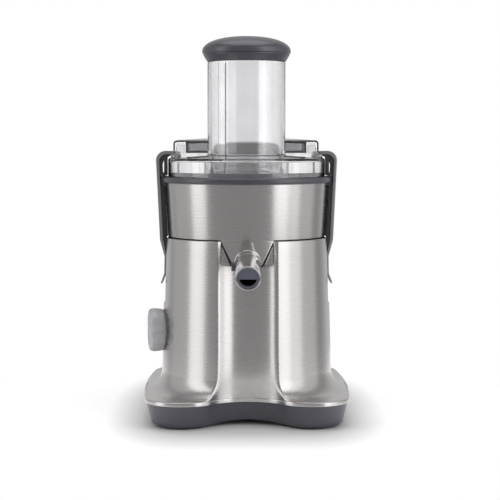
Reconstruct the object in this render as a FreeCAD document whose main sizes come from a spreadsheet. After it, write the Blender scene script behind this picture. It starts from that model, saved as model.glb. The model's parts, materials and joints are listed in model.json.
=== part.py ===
"""Centrifugal juicer: steel motor housing, juice bowl, clear lid, pusher and pulp container.

Lengths are millimetres and angles are degrees. X points right, Y back and Z up. The origin is on
the drive axis, on the surface that the juicer stands on, and the spout points to the front, -Y.
"""
import FreeCAD, Part
import math
import os
from types import SimpleNamespace

import Sketcher

Vector = FreeCAD.Vector

# Driving dimensions, as alias and value
DIMENSIONS = {
    # Clearances
    "shell_gap": 0.2,
    "moving_gap": 0.5,
    "running_gap": 0.05,
    "overcut": 1.0,
    # Plan of the base
    "lobe_spread": 67.5,
    "lobe_reach": 66.0,
    "lobe_radius": 40.0,
    "scoop_centre": 103.4,
    "side_radius": 1004.0,
    "corner_spread": 61.2,
    "corner_radius": 45.0,
    "rear_reach": 158.0,
    # Heights, stacked from the floor up
    "foot_height": 5.0,
    "skirt_height": 20.7,
    "rim_height": 4.3,
    "column_height": 164.0,
    "deck_gap": 1.0,
    "bowl_height": 57.6,
    "ring_height": 6.8,
    "lid_height": 19.7,
    "lid_dome": 2.5,
    "chute_height": 100.5,
    "cap_collar_height": 7.4,
    "cap_edge_height": 3.0,
    "cap_dome_height": 16.5,
    # Steel housing
    "steel_wall": 1.5,
    "column_foot_radius": 92.0,
    "column_top_radius": 88.0,
    "cove_radius": 21.0,
    "recess_depth": 2.9,
    "recess_lean": 2.0,
    "recess_drop": 71.0,
    "recess_half_width": 19.0,
    # Base skirt, feet, screws and cable gland
    "skirt_inset": 1.2,
    "skirt_wall": 2.8,
    "skirt_floor": 3.0,
    "skirt_round": 5.0,
    "vent_width": 3.0,
    "vent_length": 34.0,
    "vent_pitch": 8.0,
    "foot_radius": 22.0,
    "foot_chamfer": 0.8,
    "foot_stem_radius": 4.0,
    "screw_step_x": 16.0,
    "screw_step_y": 23.0,
    "screw_radius": 2.0,
    "screw_head_radius": 3.6,
    "screw_head_height": 2.0,
    "post_radius": 6.0,
    "post_height": 8.0,
    "gland_offset": 45.0,
    "gland_radius": 5.5,
    "gland_flange_radius": 8.0,
    "gland_flange": 1.1,
    "gland_nut": 3.0,
    "gland_bore": 3.6,
    # Deck that closes the housing
    "deck_depth": 8.0,
    "deck_seam_inset": 2.0,
    "boss_radius": 8.0,
    "boss_circle": 36.0,
    "mount_height": 12.0,
    "mount_screw_radius": 2.2,
    "mount_screw_head": 4.0,
    "mount_screw_depth": 10.0,
    "seal_radius": 9.0,
    "seal_height": 5.0,
    # Motor
    "fan_clearance": 15.8,
    "fan_height": 14.0,
    "fan_radius": 40.0,
    "fan_plate": 2.0,
    "fan_hub_radius": 10.0,
    "vane_thickness": 1.5,
    "fan_gap": 7.5,
    "bracket_thickness": 4.0,
    "bracket_wall": 3.0,
    "bracket_grip": 7.0,
    "lower_space": 9.5,
    "stator_height": 50.0,
    "stator_radius": 44.0,
    "stator_bore": 25.3,
    "brush_space": 31.2,
    "winding_inner": 28.0,
    "winding_outer": 42.0,
    "winding_height": 6.5,
    "winding_round": 3.0,
    "shaft_radius": 5.0,
    "shaft_tail": 4.0,
    "shaft_head": 18.0,
    "rotor_turn_radius": 22.0,
    "rotor_turn_height": 5.0,
    "commutator_radius": 13.0,
    "commutator_height": 16.0,
    "bearing_radius": 11.0,
    "bearing_height": 7.0,
    "hub_wall": 3.0,
    "brush_width": 7.6,
    "brush_height": 9.6,
    "brush_length": 20.0,
    "holder_wall": 3.0,
    "holder_start": 16.0,
    "holder_length": 24.0,
    # Control board, behind the motor on posts
    "board_setback": 62.0,
    "board_width": 70.0,
    "board_depth": 36.0,
    "board_thickness": 1.6,
    "board_post_height": 4.8,
    "board_post_radius": 3.0,
    "board_margin": 5.0,
    "capacitor_radius": 5.0,
    "capacitor_height": 9.0,
    "heatsink_width": 22.0,
    "heatsink_depth": 10.0,
    # Speed knob and its switch, on the left
    "knob_level": 94.0,
    "knob_turn": 8.0,
    "knob_radius": 23.3,
    "knob_depth": 14.4,
    "knob_edge_radius": 3.0,
    "knob_barrel_radius": 60.0,
    "pointer_width": 1.2,
    "pointer_depth": 0.8,
    "pointer_start": 8.0,
    "knob_bore_depth": 6.5,
    "bezel_rise": 0.2,
    "bezel_radius": 24.4,
    "bezel_draft": 0.4,
    "knob_shaft_radius": 3.0,
    "bush_radius": 5.0,
    "switch_width": 26.0,
    "switch_depth": 22.0,
    "switch_setback": 4.0,
    # Juice bowl and its steel band
    "bowl_foot_radius": 84.9,
    "bowl_top_radius": 88.0,
    "band_wall": 1.0,
    "bowl_wall": 2.5,
    "bowl_floor": 3.0,
    "chimney_bore": 16.0,
    "chimney_wall": 2.5,
    "chimney_height": 18.8,
    "apron_side_gap": 1.0,
    "apron_half_foot": 14.7,
    "apron_drop": 26.0,
    "apron_flare": 3.5,
    "apron_gasket": 1.2,
    "ring_radius": 91.6,
    "ring_inner_radius": 78.0,
    "ring_round": 2.5,
    "outlet_half_width": 7.0,
    "outlet_depth": 9.0,
    "outlet_setback": 3.0,
    "outlet_sill": 15.0,
    # Spout, along its own tilted axis
    "spout_tilt": 15.0,
    "spout_standoff": 19.8,
    "spout_drop": 19.2,
    "neck_tilt": 30.0,
    "neck_length": 34.0,
    "neck_small_radius": 3.4,
    "neck_large_radius": 11.8,
    "neck_bore": 4.8,
    "root_bore": 6.5,
    "spigot_radius": 10.6,
    "spigot_length": 18.0,
    "sleeve_radius": 12.75,
    "sleeve_bore": 11.1,
    "sleeve_length": 52.0,
    "sleeve_lip": 0.5,
    "sleeve_lip_length": 4.0,
    "groove_place": 12.4,
    "sleeve_groove": 1.2,
    "sleeve_groove_depth": 0.5,
    "sleeve_round": 1.0,
    "tab_reach": 3.6,
    "tab_width": 7.0,
    "tab_drop": 3.2,
    "tab_length": 7.0,
    "tab_start": 4.5,
    "insert_setback": 0.9,
    "insert_thickness": 3.5,
    "moon_radius": 8.9,
    "moon_drop": 1.0,
    "oring_place": 9.0,
    "oring_radius": 0.45,
    "oring_sink": 0.63,
    # Drive coupling and filter basket
    "coupling_gap": 2.0,
    "coupling_height": 21.2,
    "coupling_radius": 11.0,
    "spline_reach": 1.8,
    "spline_width": 3.0,
    "socket_wall": 2.0,
    "socket_depth": 11.4,
    "basket_lift": 6.8,
    "basket_floor": 3.0,
    "basket_hub_wall": 2.5,
    "basket_hub_top": 3.0,
    "basket_foot_radius": 60.0,
    "basket_top_radius": 72.0,
    "basket_height": 44.0,
    "mesh_wall": 0.8,
    "grater_radius": 57.0,
    "grater_wall": 1.0,
    "tooth_length": 3.0,
    "tooth_width": 1.0,
    "tooth_height": 1.2,
    "tooth_first_radius": 29.0,
    "tooth_pitch": 7.0,
    "rim_overlap": 2.0,
    "rim_overhang": 3.0,
    "rim_depth": 4.0,
    # Clear lid with feed chute and pulp hood
    "lid_radius": 84.6,
    "lid_wall": 2.5,
    "lid_chamfer": 2.0,
    "chute_radius": 42.0,
    "chute_wall": 2.5,
    "chute_foot_radius": 46.0,
    "hood_front": 46.0,
    "hood_rear": 152.0,
    "hood_half_width": 81.0,
    "hood_corner": 40.0,
    "hood_lift": 4.4,
    "hood_rise": 14.6,
    "hood_arch_radius": 980.0,
    "key_angle": 40.5,
    "key_width": 10.0,
    "key_depth": 1.6,
    # Pusher
    "pusher_wall": 3.0,
    "pusher_drop": 20.0,
    "pusher_floor": 3.0,
    "cap_radius": 47.7,
    "cap_collar_radius": 42.4,
    "cap_seam_radius": 46.8,
    "cap_edge_radius": 6.0,
    "cap_wall": 3.0,
    # Locking clips
    "hinge_inset": 8.6,
    "hinge_rise": 4.1,
    "barrel_radius": 3.2,
    "pin_radius": 1.5,
    "clip_half_width": 15.0,
    "ear_width": 5.0,
    "ear_foot": 5.0,
    "strip_wall": 2.2,
    "strip_crown": 0.7,
    "strip_standoff": 6.0,
    "strip_crown_radius": 15.0,
    "strip_bend_radius": 10.0,
    "bend_standoff": 5.2,
    "bowl_standoff": 8.3,
    "bend_drop": 2.6,
    "tail_standoff": 0.4,
    "tail_drop": 20.2,
    "curl_drop": 39.0,
    "curl_standoff": 4.8,
    "curl_length": 10.6,
    "clip_gap": 1.0,
    "liner_step": 3.0,
    "liner_knee": 1.2,
    "liner_half_width": 13.0,
    "liner_layer": 3.4,
    "liner_arm": 3.0,
    "nib_half_width": 8.0,
    "nib_reach": 4.6,
    "nib_height": 3.5,
    "nib_drop": 15.7,
    "slot_gap": 0.9,
    "interlock_depth": 15.0,
    "interlock_height": 12.0,
    # Pulp container, on the rear deck of the base
    "container_gap": 0.4,
    "container_wall": 2.2,
    "container_front": 58.0,
    "container_rear": 150.0,
    "container_half_width": 82.0,
    "container_corner": 38.0,
    "container_clearance": 3.0,
    "container_lip": 3.0,
    "container_lip_height": 3.0,
    "container_headroom": 4.0,
}

# Counts of what repeats
VENT_COUNT = 7
VANE_COUNT = 9
SPLINE_COUNT = 8
TOOTH_ROWS = 10
TEETH_PER_ROW = 4
MOUNT_COUNT = 4

LEFT = 1
RIGHT = -1


class Size:
    """A length with its value and the expression that reads it from the sheet."""

    def __init__(self, value, text=None):
        self.value = float(value)
        self.text = repr(self.value) if text is None else text

    def _join(self, other, sign, value):
        return Size(value, f"({self.text} {sign} {other.text})")

    def __add__(self, other):
        other = as_size(other)
        return self._join(other, "+", self.value + other.value)

    def __sub__(self, other):
        other = as_size(other)
        return self._join(other, "-", self.value - other.value)

    def __mul__(self, other):
        other = as_size(other)
        return self._join(other, "*", self.value * other.value)

    def __truediv__(self, other):
        other = as_size(other)
        return self._join(other, "/", self.value / other.value)

    def __radd__(self, other):
        return as_size(other) + self

    def __rsub__(self, other):
        return as_size(other) - self

    def __rmul__(self, other):
        return as_size(other) * self

    def __neg__(self):
        return as_size(0) - self

    def larger(self, other):
        """The larger of two lengths."""
        return Size(max(self.value, other.value), f"max({self.text}; {other.text})")

    def smaller(self, other):
        """The smaller of two lengths."""
        return Size(min(self.value, other.value), f"min({self.text}; {other.text})")

    def root(self):
        """Square root."""
        return Size(math.sqrt(self.value), f"sqrt({self.text})")

    def sine(self):
        """Sine of an angle in degrees."""
        return Size(math.sin(math.radians(self.value)), f"sin({self.text})")

    def cosine(self):
        """Cosine of an angle in degrees."""
        return Size(math.cos(math.radians(self.value)), f"cos({self.text})")


def as_size(length):
    """A plain number as a Size that reads no cell."""
    return length if isinstance(length, Size) else Size(length)


class Corner:
    """A corner of an outline, and the arc that leaves it where the next edge is round."""

    def __init__(self, across, up, arc=None, turn=LEFT):
        self.across = as_size(across)
        self.up = as_size(up)
        self.arc = None if arc is None else as_size(arc)
        self.turn = turn


doc = FreeCAD.newDocument("Juicer")
sheet = doc.addObject("Spreadsheet::Sheet", "Sizes")
for row, (alias, number) in enumerate(DIMENSIONS.items(), 1):
    sheet.set(f"A{row}", alias)
    sheet.set(f"B{row}", str(number))
    sheet.setAlias(f"B{row}", alias)
doc.recompute()
S = SimpleNamespace(**{alias: Size(number, f"Sizes.{alias}") for alias, number in DIMENSIONS.items()})
NODES = []


# Helpers that make and bind document objects

def node(item, label):
    """Name a finished sub-part and put it on the list of files to write."""
    item.Label = label
    NODES.append(item)
    return item


def bind(item, path, length):
    """Tie a property of an object to the sheet."""
    item.setExpression(path, as_size(length).text)


def place(item, x=0, y=0, z=0, axis=Vector(0, 0, 1), angle=0):
    """Turn an object about an axis through its own origin and move it to a bound place."""
    item.Placement = FreeCAD.Placement(Vector(0, 0, 0), FreeCAD.Rotation(axis, as_size(angle).value))
    for name, length in (("x", x), ("y", y), ("z", z)):
        bind(item, f"Placement.Base.{name}", length)
    if isinstance(angle, Size):
        bind(item, "Placement.Rotation.Angle", angle)
    return item


def new_body(name):
    """An empty body."""
    return doc.addObject("PartDesign::Body", name)


def new_sketch(body, plane, offset=0):
    """A sketch on one of the body's own planes, moved along the plane's normal."""
    support = next(item for item in body.Origin.OriginFeatures if item.Role == plane)
    sketch = body.newObject("Sketcher::SketchObject", f"{body.Name}_sketch")
    sketch.AttachmentSupport = [(support, "")]
    sketch.MapMode = "FlatFace"
    bind(sketch, "AttachmentOffset.Base.z", offset)
    return sketch


def fix(sketch, kind, geometry, point, length):
    """Hold a point of a sketch at a bound distance from the sketch's origin."""
    length = as_size(length)
    index = sketch.addConstraint(Sketcher.Constraint(kind, -1, 1, geometry, point, length.value))
    bind(sketch, f"Constraints[{index}]", length)


def fix_radius(sketch, geometry, length):
    """Hold the radius of an arc."""
    index = sketch.addConstraint(Sketcher.Constraint("Radius", geometry, length.value))
    bind(sketch, f"Constraints[{index}]", length)


def arc_between(start, end, radius, turn):
    """The arc of under a half circle from start to end, turning left or right on the way."""
    chord = end - start
    half = chord.Length / 2
    side = Vector(-chord.y, chord.x, 0).normalize() * turn
    centre = (start + end) / 2 + side * math.sqrt(max(radius * radius - half * half, 0))
    angles = [math.atan2(point.y - centre.y, point.x - centre.x) for point in (start, end)]
    if turn == RIGHT:
        angles.reverse()
    return Part.ArcOfCircle(Part.Circle(centre, Vector(0, 0, 1), radius), *angles)


def draw(sketch, corners):
    """Draw a closed outline and bind every corner and arc of it to the sheet."""
    points = [Vector(corner.across.value, corner.up.value, 0) for corner in corners]
    following = corners[1:] + corners[:1]
    ends = points[1:] + points[:1]
    for corner, start, end in zip(corners, points, ends):
        if corner.arc is None:
            sketch.addGeometry(Part.LineSegment(start, end), False)
        else:
            sketch.addGeometry(arc_between(start, end, corner.arc.value, corner.turn), False)

    def tip(corner, leaving):
        backwards = corner.arc is not None and corner.turn == RIGHT
        return 1 if leaving != backwards else 2

    for index, (corner, after) in enumerate(zip(corners, following)):
        neighbour = (index + 1) % len(corners)
        sketch.addConstraint(Sketcher.Constraint(
            "Coincident", index, tip(corner, False), neighbour, tip(after, True)))
    for index, corner in enumerate(corners):
        fix(sketch, "DistanceX", index, tip(corner, True), corner.across)
        fix(sketch, "DistanceY", index, tip(corner, True), corner.up)
        if corner.arc is not None:
            fix_radius(sketch, index, corner.arc)


def revolve(name, corners, body=None):
    """A body turned about its Z axis from a half section in radius and height."""
    body = body or new_body(name)
    sketch = new_sketch(body, "XZ_Plane")
    draw(sketch, corners)
    turned = body.newObject("PartDesign::Revolution", f"{name}_turned")
    turned.Profile = sketch
    turned.ReferenceAxis = (sketch, ["V_Axis"])
    turned.Angle = 360
    return body


def sketch_on(body, plane, low, height):
    """A sketch from which a pad of this height fills the span from low upwards."""
    low, height = as_size(low), as_size(height)
    return new_sketch(body, plane, -(low + height) if plane == "XZ_Plane" else low)


def pad(body, sketch, height):
    """Raise the outline of a sketch to a solid."""
    raised = body.newObject("PartDesign::Pad", f"{body.Name}_pad")
    raised.Profile = sketch
    bind(raised, "Length", height)
    return raised


def extrude(name, corners, low, height, plane="XY_Plane", body=None):
    """A body raised from an outline, over a span along the plane's own axis."""
    body = body or new_body(name)
    sketch = sketch_on(body, plane, low, height)
    draw(sketch, corners)
    pad(body, sketch, height)
    return body


def pocket(body, corners, low, height, plane="XY_Plane"):
    """Cut an outline out of a body over a span along the plane's own axis."""
    sketch = sketch_on(body, plane, low, height)
    draw(sketch, corners)
    hollow = body.newObject("PartDesign::Pocket", f"{body.Name}_pocket")
    hollow.Profile = sketch
    hollow.Reversed = True
    bind(hollow, "Length", height)
    return hollow


def rectangle(left, right, low, high):
    """The four corners of an upright rectangle."""
    return [Corner(left, low), Corner(right, low), Corner(right, high), Corner(left, high)]


def ring_section(inner, outer, low, high):
    """Half section of a plain ring."""
    return rectangle(inner, outer, low, high)


def cylinder(name, radius, low, height, x=0, y=0):
    """An upright cylinder."""
    item = doc.addObject("Part::Cylinder", name)
    bind(item, "Radius", radius)
    bind(item, "Height", height)
    return place(item, x, y, low)


def rod(name, radius, length, x, y, z, axis, angle):
    """A cylinder from a point along a direction reached by turning Z about an axis."""
    item = doc.addObject("Part::Cylinder", name)
    bind(item, "Radius", radius)
    bind(item, "Height", length)
    return place(item, x, y, z, axis, angle)


def box(name, x, y, z, length, width, height):
    """A block from its lowest corner."""
    item = doc.addObject("Part::Box", name)
    for path, value in (("Length", length), ("Width", width), ("Height", height)):
        bind(item, path, value)
    return place(item, x, y, z)


def fuse(name, *items):
    """One solid of several."""
    item = doc.addObject("Part::MultiFuse", name)
    item.Shapes = list(items)
    return item


def cut(name, base, *tools):
    """A solid less all the tools."""
    item = doc.addObject("Part::Cut", name)
    item.Base = base
    item.Tool = tools[0] if len(tools) == 1 else fuse(f"{name}_tools", *tools)
    return item


def common(name, *items):
    """What several solids share."""
    item = doc.addObject("Part::MultiCommon", name)
    item.Shapes = list(items)
    return item


def group(name, *items):
    """Separate solids that make one node."""
    item = doc.addObject("Part::Compound", name)
    item.Links = list(items)
    return item


def mirrored(name, source):
    """A copy on the other side of the YZ plane."""
    item = doc.addObject("Part::Mirroring", name)
    item.Source = source
    item.Normal = Vector(1, 0, 0)
    return item


# Levels, worked out from the stack of heights
floor_top = S.foot_height + S.skirt_floor
seam = S.foot_height + S.skirt_height
rim_top = seam + S.rim_height
column_top = rim_top + S.column_height
deck_low = column_top - S.deck_depth
deck_top = column_top + S.deck_gap
ring_low = deck_top + S.bowl_height
ring_top = ring_low + S.ring_height
lid_top = ring_top + S.lid_height
lid_crown = lid_top + S.lid_dome
chute_top = lid_crown + S.chute_height
cap_low = chute_top + S.moving_gap
cap_seam = cap_low + S.cap_collar_height
cap_edge = cap_seam + S.cap_edge_height
cap_top = cap_edge + S.cap_dome_height

gland_level = floor_top + (S.skirt_height - S.skirt_floor) / 2
fan_low = floor_top + S.fan_clearance
fan_top = fan_low + S.fan_height
lower_low = fan_top + S.fan_gap
lower_top = lower_low + S.bracket_thickness
stator_low = lower_top + S.lower_space
stator_top = stator_low + S.stator_height
upper_low = stator_top + S.brush_space
upper_top = upper_low + S.bracket_thickness
mount_top = upper_top + S.mount_height

bowl_floor_top = deck_top + S.bowl_floor
basket_low = bowl_floor_top + S.basket_lift
basket_top = basket_low + S.basket_floor
coupling_low = deck_top + S.coupling_gap
coupling_top = coupling_low + S.coupling_height
rim_low = basket_top + S.basket_height

FAR = S.rear_reach + S.lobe_reach
scoop_gap = S.scoop_centre - S.lobe_reach
SCOOP_RADIUS = (S.lobe_spread * S.lobe_spread + scoop_gap * scoop_gap).root() - S.lobe_radius


# Base plan

def side_centre():
    """Centre of the right side's long arc, which touches the lobe and the rear corner."""
    lobe = Vector(S.lobe_spread.value, -S.lobe_reach.value, 0)
    corner = Vector(S.corner_spread.value, (S.rear_reach - S.corner_radius).value, 0)
    to_lobe = (S.side_radius - S.lobe_radius).value
    to_corner = (S.side_radius - S.corner_radius).value
    step = corner - lobe
    gap = step.Length
    along = (to_lobe ** 2 - to_corner ** 2 + gap ** 2) / (2 * gap)
    inward = Vector(-step.y, step.x, 0).normalize()
    return lobe + step * (along / gap) + inward * math.sqrt(to_lobe ** 2 - along ** 2)


def base_sketch(body, inset, low, height):
    """Plan of the base: two lobes with a scoop between them, long sides and a straight rear."""
    sketch = sketch_on(body, "XY_Plane", low, height)
    inset = as_size(inset)
    lobe_radius = S.lobe_radius - inset
    corner_radius = S.corner_radius - inset
    side_radius = S.side_radius - inset
    corner_y = S.rear_reach - S.corner_radius
    centre = side_centre()
    scoop = (0, -S.scoop_centre.value)
    lobe = (S.lobe_spread.value, -S.lobe_reach.value)
    corner = (S.corner_spread.value, corner_y.value)
    scoop_angle = math.atan2(lobe[1] - scoop[1], lobe[0] - scoop[0])
    lobe_angle = math.atan2(lobe[1] - centre.y, lobe[0] - centre.x)
    corner_angle = math.atan2(corner[1] - centre.y, corner[0] - centre.x)
    quarter = math.pi / 2

    def arc(middle, radius, start, end):
        circle = Part.Circle(Vector(middle[0], middle[1], 0), Vector(0, 0, 1), radius.value)
        return sketch.addGeometry(Part.ArcOfCircle(circle, start, end), False)

    def flip(middle):
        return -middle[0], middle[1]

    side = (centre.x, centre.y)
    rear = S.rear_reach.value - inset.value
    scoop_arc = arc(scoop, SCOOP_RADIUS + inset, scoop_angle, math.pi - scoop_angle)
    right_lobe = arc(lobe, lobe_radius, scoop_angle - math.pi, lobe_angle)
    right_side = arc(side, side_radius, lobe_angle, corner_angle)
    right_corner = arc(corner, corner_radius, corner_angle, quarter)
    rear_line = sketch.addGeometry(
        Part.LineSegment(Vector(corner[0], rear, 0), Vector(-corner[0], rear, 0)), False)
    left_corner = arc(flip(corner), corner_radius, quarter, math.pi - corner_angle)
    left_side = arc(flip(side), side_radius, math.pi - corner_angle, math.pi - lobe_angle)
    left_lobe = arc(flip(lobe), lobe_radius, math.pi - lobe_angle, 2 * math.pi - scoop_angle)
    chain = [right_lobe, right_side, right_corner, rear_line, left_corner, left_side, left_lobe]
    for first, second in zip(chain, chain[1:]):
        sketch.addConstraint(Sketcher.Constraint("Tangent", first, 2, second, 1))
    sketch.addConstraint(Sketcher.Constraint("Tangent", left_lobe, 2, scoop_arc, 2))
    sketch.addConstraint(Sketcher.Constraint("Tangent", scoop_arc, 1, right_lobe, 1))
    for arc_index, across, up in ((right_lobe, S.lobe_spread, -S.lobe_reach),
                                  (left_lobe, -S.lobe_spread, -S.lobe_reach),
                                  (right_corner, S.corner_spread, corner_y),
                                  (left_corner, -S.corner_spread, corner_y)):
        fix(sketch, "DistanceX", arc_index, 3, across)
        fix(sketch, "DistanceY", arc_index, 3, up)
    fix(sketch, "DistanceY", scoop_arc, 3, -S.scoop_centre)
    for arc_index, radius in ((right_lobe, lobe_radius), (left_lobe, lobe_radius),
                              (right_corner, corner_radius), (left_corner, corner_radius),
                              (right_side, side_radius), (left_side, side_radius)):
        fix_radius(sketch, arc_index, radius)
    return sketch


def base_prism(name, inset, low, high):
    """The plan of the base, drawn in by an inset and raised from low to high."""
    body = new_body(name)
    pad(body, base_sketch(body, inset, low, high - low), high - low)
    return body


def column_section(offset, low, high):
    """Half section of the column with its cove and the lobe plate, moved outwards by offset."""
    offset = as_size(offset)
    return [
        Corner(0, low),
        Corner(FAR, low),
        Corner(FAR, rim_top + offset),
        Corner(S.column_foot_radius + S.cove_radius, rim_top + offset, S.cove_radius - offset, RIGHT),
        Corner(S.column_foot_radius + offset, rim_top + S.cove_radius),
        Corner(S.column_top_radius + offset, high),
        Corner(0, high),
    ]


def side_recess(name, inset):
    """Wedge that flattens the right side of the column where the tail of a clip lies."""
    inset = as_size(inset)
    top = S.column_top_radius - S.recess_depth - inset
    low = column_top - S.recess_drop - inset
    above = column_top + S.overcut * 2
    outline = [Corner(top + S.recess_lean, low), Corner(FAR, low), Corner(FAR, above), Corner(top, above)]
    half = S.recess_half_width + inset
    return extrude(name, outline, -half, half * 2, "XZ_Plane")


def both_sides(item):
    """A piece on the right and its mirror image on the left."""
    return item, mirrored(f"{item.Name}_left", item)


SCREW_PLACES = [(side * (S.lobe_spread + S.screw_step_x), -(S.lobe_reach + S.screw_step_y))
                for side in (-1, 1)]
SCREW_PLACES += [(side * (S.corner_spread + S.screw_step_x),
                  S.rear_reach - S.corner_radius + S.screw_step_y) for side in (-1, 1)]
FOOT_PLACES = {
    "foot_front_left": (-S.lobe_spread, -S.lobe_reach),
    "foot_front_right": (S.lobe_spread, -S.lobe_reach),
    "foot_rear_left": (-S.corner_spread, S.rear_reach - S.corner_radius),
    "foot_rear_right": (S.corner_spread, S.rear_reach - S.corner_radius),
}
MOUNT_PLACES = []
for index in range(MOUNT_COUNT):
    angle = math.radians(45 + 360 / MOUNT_COUNT * index)
    MOUNT_PLACES.append((S.boss_circle * math.cos(angle), S.boss_circle * math.sin(angle)))


# Steel housing and base skirt

cone_run = S.column_height - S.cove_radius
column_taper = (S.column_foot_radius - S.column_top_radius) / cone_run
COLUMN_AT_KNOB = S.column_top_radius + column_taper * (column_top - S.knob_level)
knob_lean = column_taper * S.knob_radius
COLUMN_UNDER_KNOB = (COLUMN_AT_KNOB + knob_lean).larger(COLUMN_AT_KNOB - knob_lean)


def at_knob(item):
    """Place a piece that is drawn about Z on the axis of the knob, from the drive axis outwards."""
    heading = S.knob_turn - 90
    item.setExpression("Placement", f"placement(vector(0; 0; {S.knob_level.text}); "
                                    f"rotation({heading.text}; 0; 90))")
    return item


def make_housing_core():
    """The outer form of the housing, as a solid."""
    block = common("housing_block",
                   base_prism("housing_plan", 0, seam, column_top),
                   revolve("housing_column", column_section(0, seam, column_top)))
    return cut("housing_form", block, *both_sides(side_recess("recess", 0)))


def clip_slot(name):
    """Opening in the side of the column that the nib of the right clip enters."""
    half = S.nib_half_width + S.slot_gap
    top = column_top - S.nib_drop + S.nib_height + S.slot_gap
    height = S.nib_height + S.slot_gap * 2
    depth = S.recess_depth + S.steel_wall * 2 + S.overcut
    return box(name, S.column_top_radius - depth, -half, top - height, depth * 2, half * 2, height)


def make_housing(form):
    """Steel shell with threaded bosses under its rear deck and lobes."""
    low = seam - S.overcut
    high = column_top + S.overcut
    space = common("housing_space",
                   base_prism("housing_inner_plan", S.steel_wall, low, high),
                   revolve("housing_inner_column", column_section(-S.steel_wall, low, high)))
    hollow = cut("housing_hollow", space, *both_sides(side_recess("inner_recess", S.steel_wall)))
    knob_hole = at_knob(cylinder("knob_hole", S.bush_radius + S.shell_gap, 0, FAR))
    shell = cut("housing_shell", form, hollow, knob_hole, *both_sides(clip_slot("clip_slot")))
    boss_low = floor_top + S.post_height
    bosses = []
    for index, (x, y) in enumerate(SCREW_PLACES):
        outer = cylinder(f"housing_boss_{index}", S.post_radius - S.steel_wall, boss_low,
                         rim_top - S.steel_wall / 2 - boss_low, x, y)
        bosses.append(cut(f"housing_stud_{index}", outer,
                          cylinder(f"stud_thread_{index}", S.screw_radius, boss_low,
                                   rim_top - S.steel_wall - boss_low, x, y)))
    node(fuse("housing", shell, *bosses), "motor_housing")


def make_skirt():
    """Dark tray that closes the housing from below, with posts, vents and holes."""
    body = new_body("skirt_tray")
    raised = pad(body, base_sketch(body, S.skirt_inset, S.foot_height, S.skirt_height), S.skirt_height)
    doc.recompute()
    lowest = [f"Edge{index}" for index, edge in enumerate(raised.Shape.Edges, 1)
              if edge.BoundBox.ZMax < S.foot_height.value + S.shell_gap.value]
    rounding = body.newObject("PartDesign::Fillet", "skirt_rounding")
    rounding.Base = (raised, lowest)
    bind(rounding, "Radius", S.skirt_round)
    space = base_prism("skirt_space", S.skirt_inset + S.skirt_wall, floor_top, seam + S.overcut)
    posts = []
    holes = []
    for index, (x, y) in enumerate(SCREW_PLACES):
        posts.append(cylinder(f"skirt_post_{index}", S.post_radius, S.foot_height + S.screw_head_height,
                              floor_top + S.post_height - S.foot_height - S.screw_head_height, x, y))
        holes.append(cylinder(f"skirt_hole_{index}", S.screw_radius, 0, seam, x, y))
        holes.append(cylinder(f"skirt_sink_{index}", S.screw_head_radius + S.shell_gap,
                              S.foot_height - S.overcut, S.overcut + S.screw_head_height, x, y))
    for index, (x, y) in enumerate(board_corners()):
        posts.append(cylinder(f"board_post_{index}", S.board_post_radius, S.foot_height + S.shell_gap,
                              S.skirt_floor + S.board_post_height - S.shell_gap, x, y))
    for name, (x, y) in FOOT_PLACES.items():
        holes.append(cylinder(f"{name}_hole", S.foot_stem_radius, 0, seam, x, y))
    for index in range(VENT_COUNT):
        x = S.vent_pitch * (index - (VENT_COUNT - 1) / 2) - S.vent_width / 2
        holes.append(box(f"vent_{index}", x, -S.vent_length / 2, 0, S.vent_width, S.vent_length, seam))
    holes.append(rod("gland_hole", S.gland_radius, S.corner_radius, S.gland_offset,
                     S.rear_reach - S.corner_radius, gland_level, Vector(1, 0, 0), -90))
    tray = fuse("skirt_posted", cut("skirt_open", body, space), *posts)
    node(cut("skirt", tray, *holes), "base_skirt")


def make_base_fittings():
    """Feet, base screws and the gland that the mains lead would leave through."""
    for name, (x, y) in FOOT_PLACES.items():
        outline = [
            Corner(0, 0),
            Corner(S.foot_radius - S.foot_chamfer, 0),
            Corner(S.foot_radius, S.foot_chamfer),
            Corner(S.foot_radius, S.foot_height),
            Corner(S.foot_stem_radius, S.foot_height),
            Corner(S.foot_stem_radius, floor_top),
            Corner(0, floor_top),
        ]
        node(place(revolve(f"{name}_body", outline), x, y), name)
    screws = []
    head_top = S.foot_height + S.screw_head_height
    for index, (x, y) in enumerate(SCREW_PLACES):
        outline = [
            Corner(0, S.foot_height),
            Corner(S.screw_head_radius, S.foot_height),
            Corner(S.screw_head_radius, head_top),
            Corner(S.screw_radius, head_top),
            Corner(S.screw_radius, rim_top - S.steel_wall * 2),
            Corner(0, rim_top - S.steel_wall * 2),
        ]
        screws.append(place(revolve(f"base_screw_{index}", outline), x, y))
    node(group("base_screw_set", *screws), "base_screws")
    wall_out = S.rear_reach - S.skirt_inset
    wall_in = wall_out - S.skirt_wall
    nut_in = wall_in - S.gland_nut
    face = wall_out + S.gland_flange
    outline = [
        Corner(S.gland_bore, nut_in),
        Corner(S.gland_flange_radius, nut_in),
        Corner(S.gland_flange_radius, wall_in),
        Corner(S.gland_radius, wall_in),
        Corner(S.gland_radius, wall_out),
        Corner(S.gland_flange_radius, wall_out),
        Corner(S.gland_flange_radius - S.gland_flange / 2, face),
        Corner(S.gland_bore, face),
    ]
    gland = place(revolve("gland", outline), S.gland_offset, 0, gland_level, Vector(1, 0, 0), -90)
    node(gland, "cable_gland")


# Deck and motor

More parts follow.
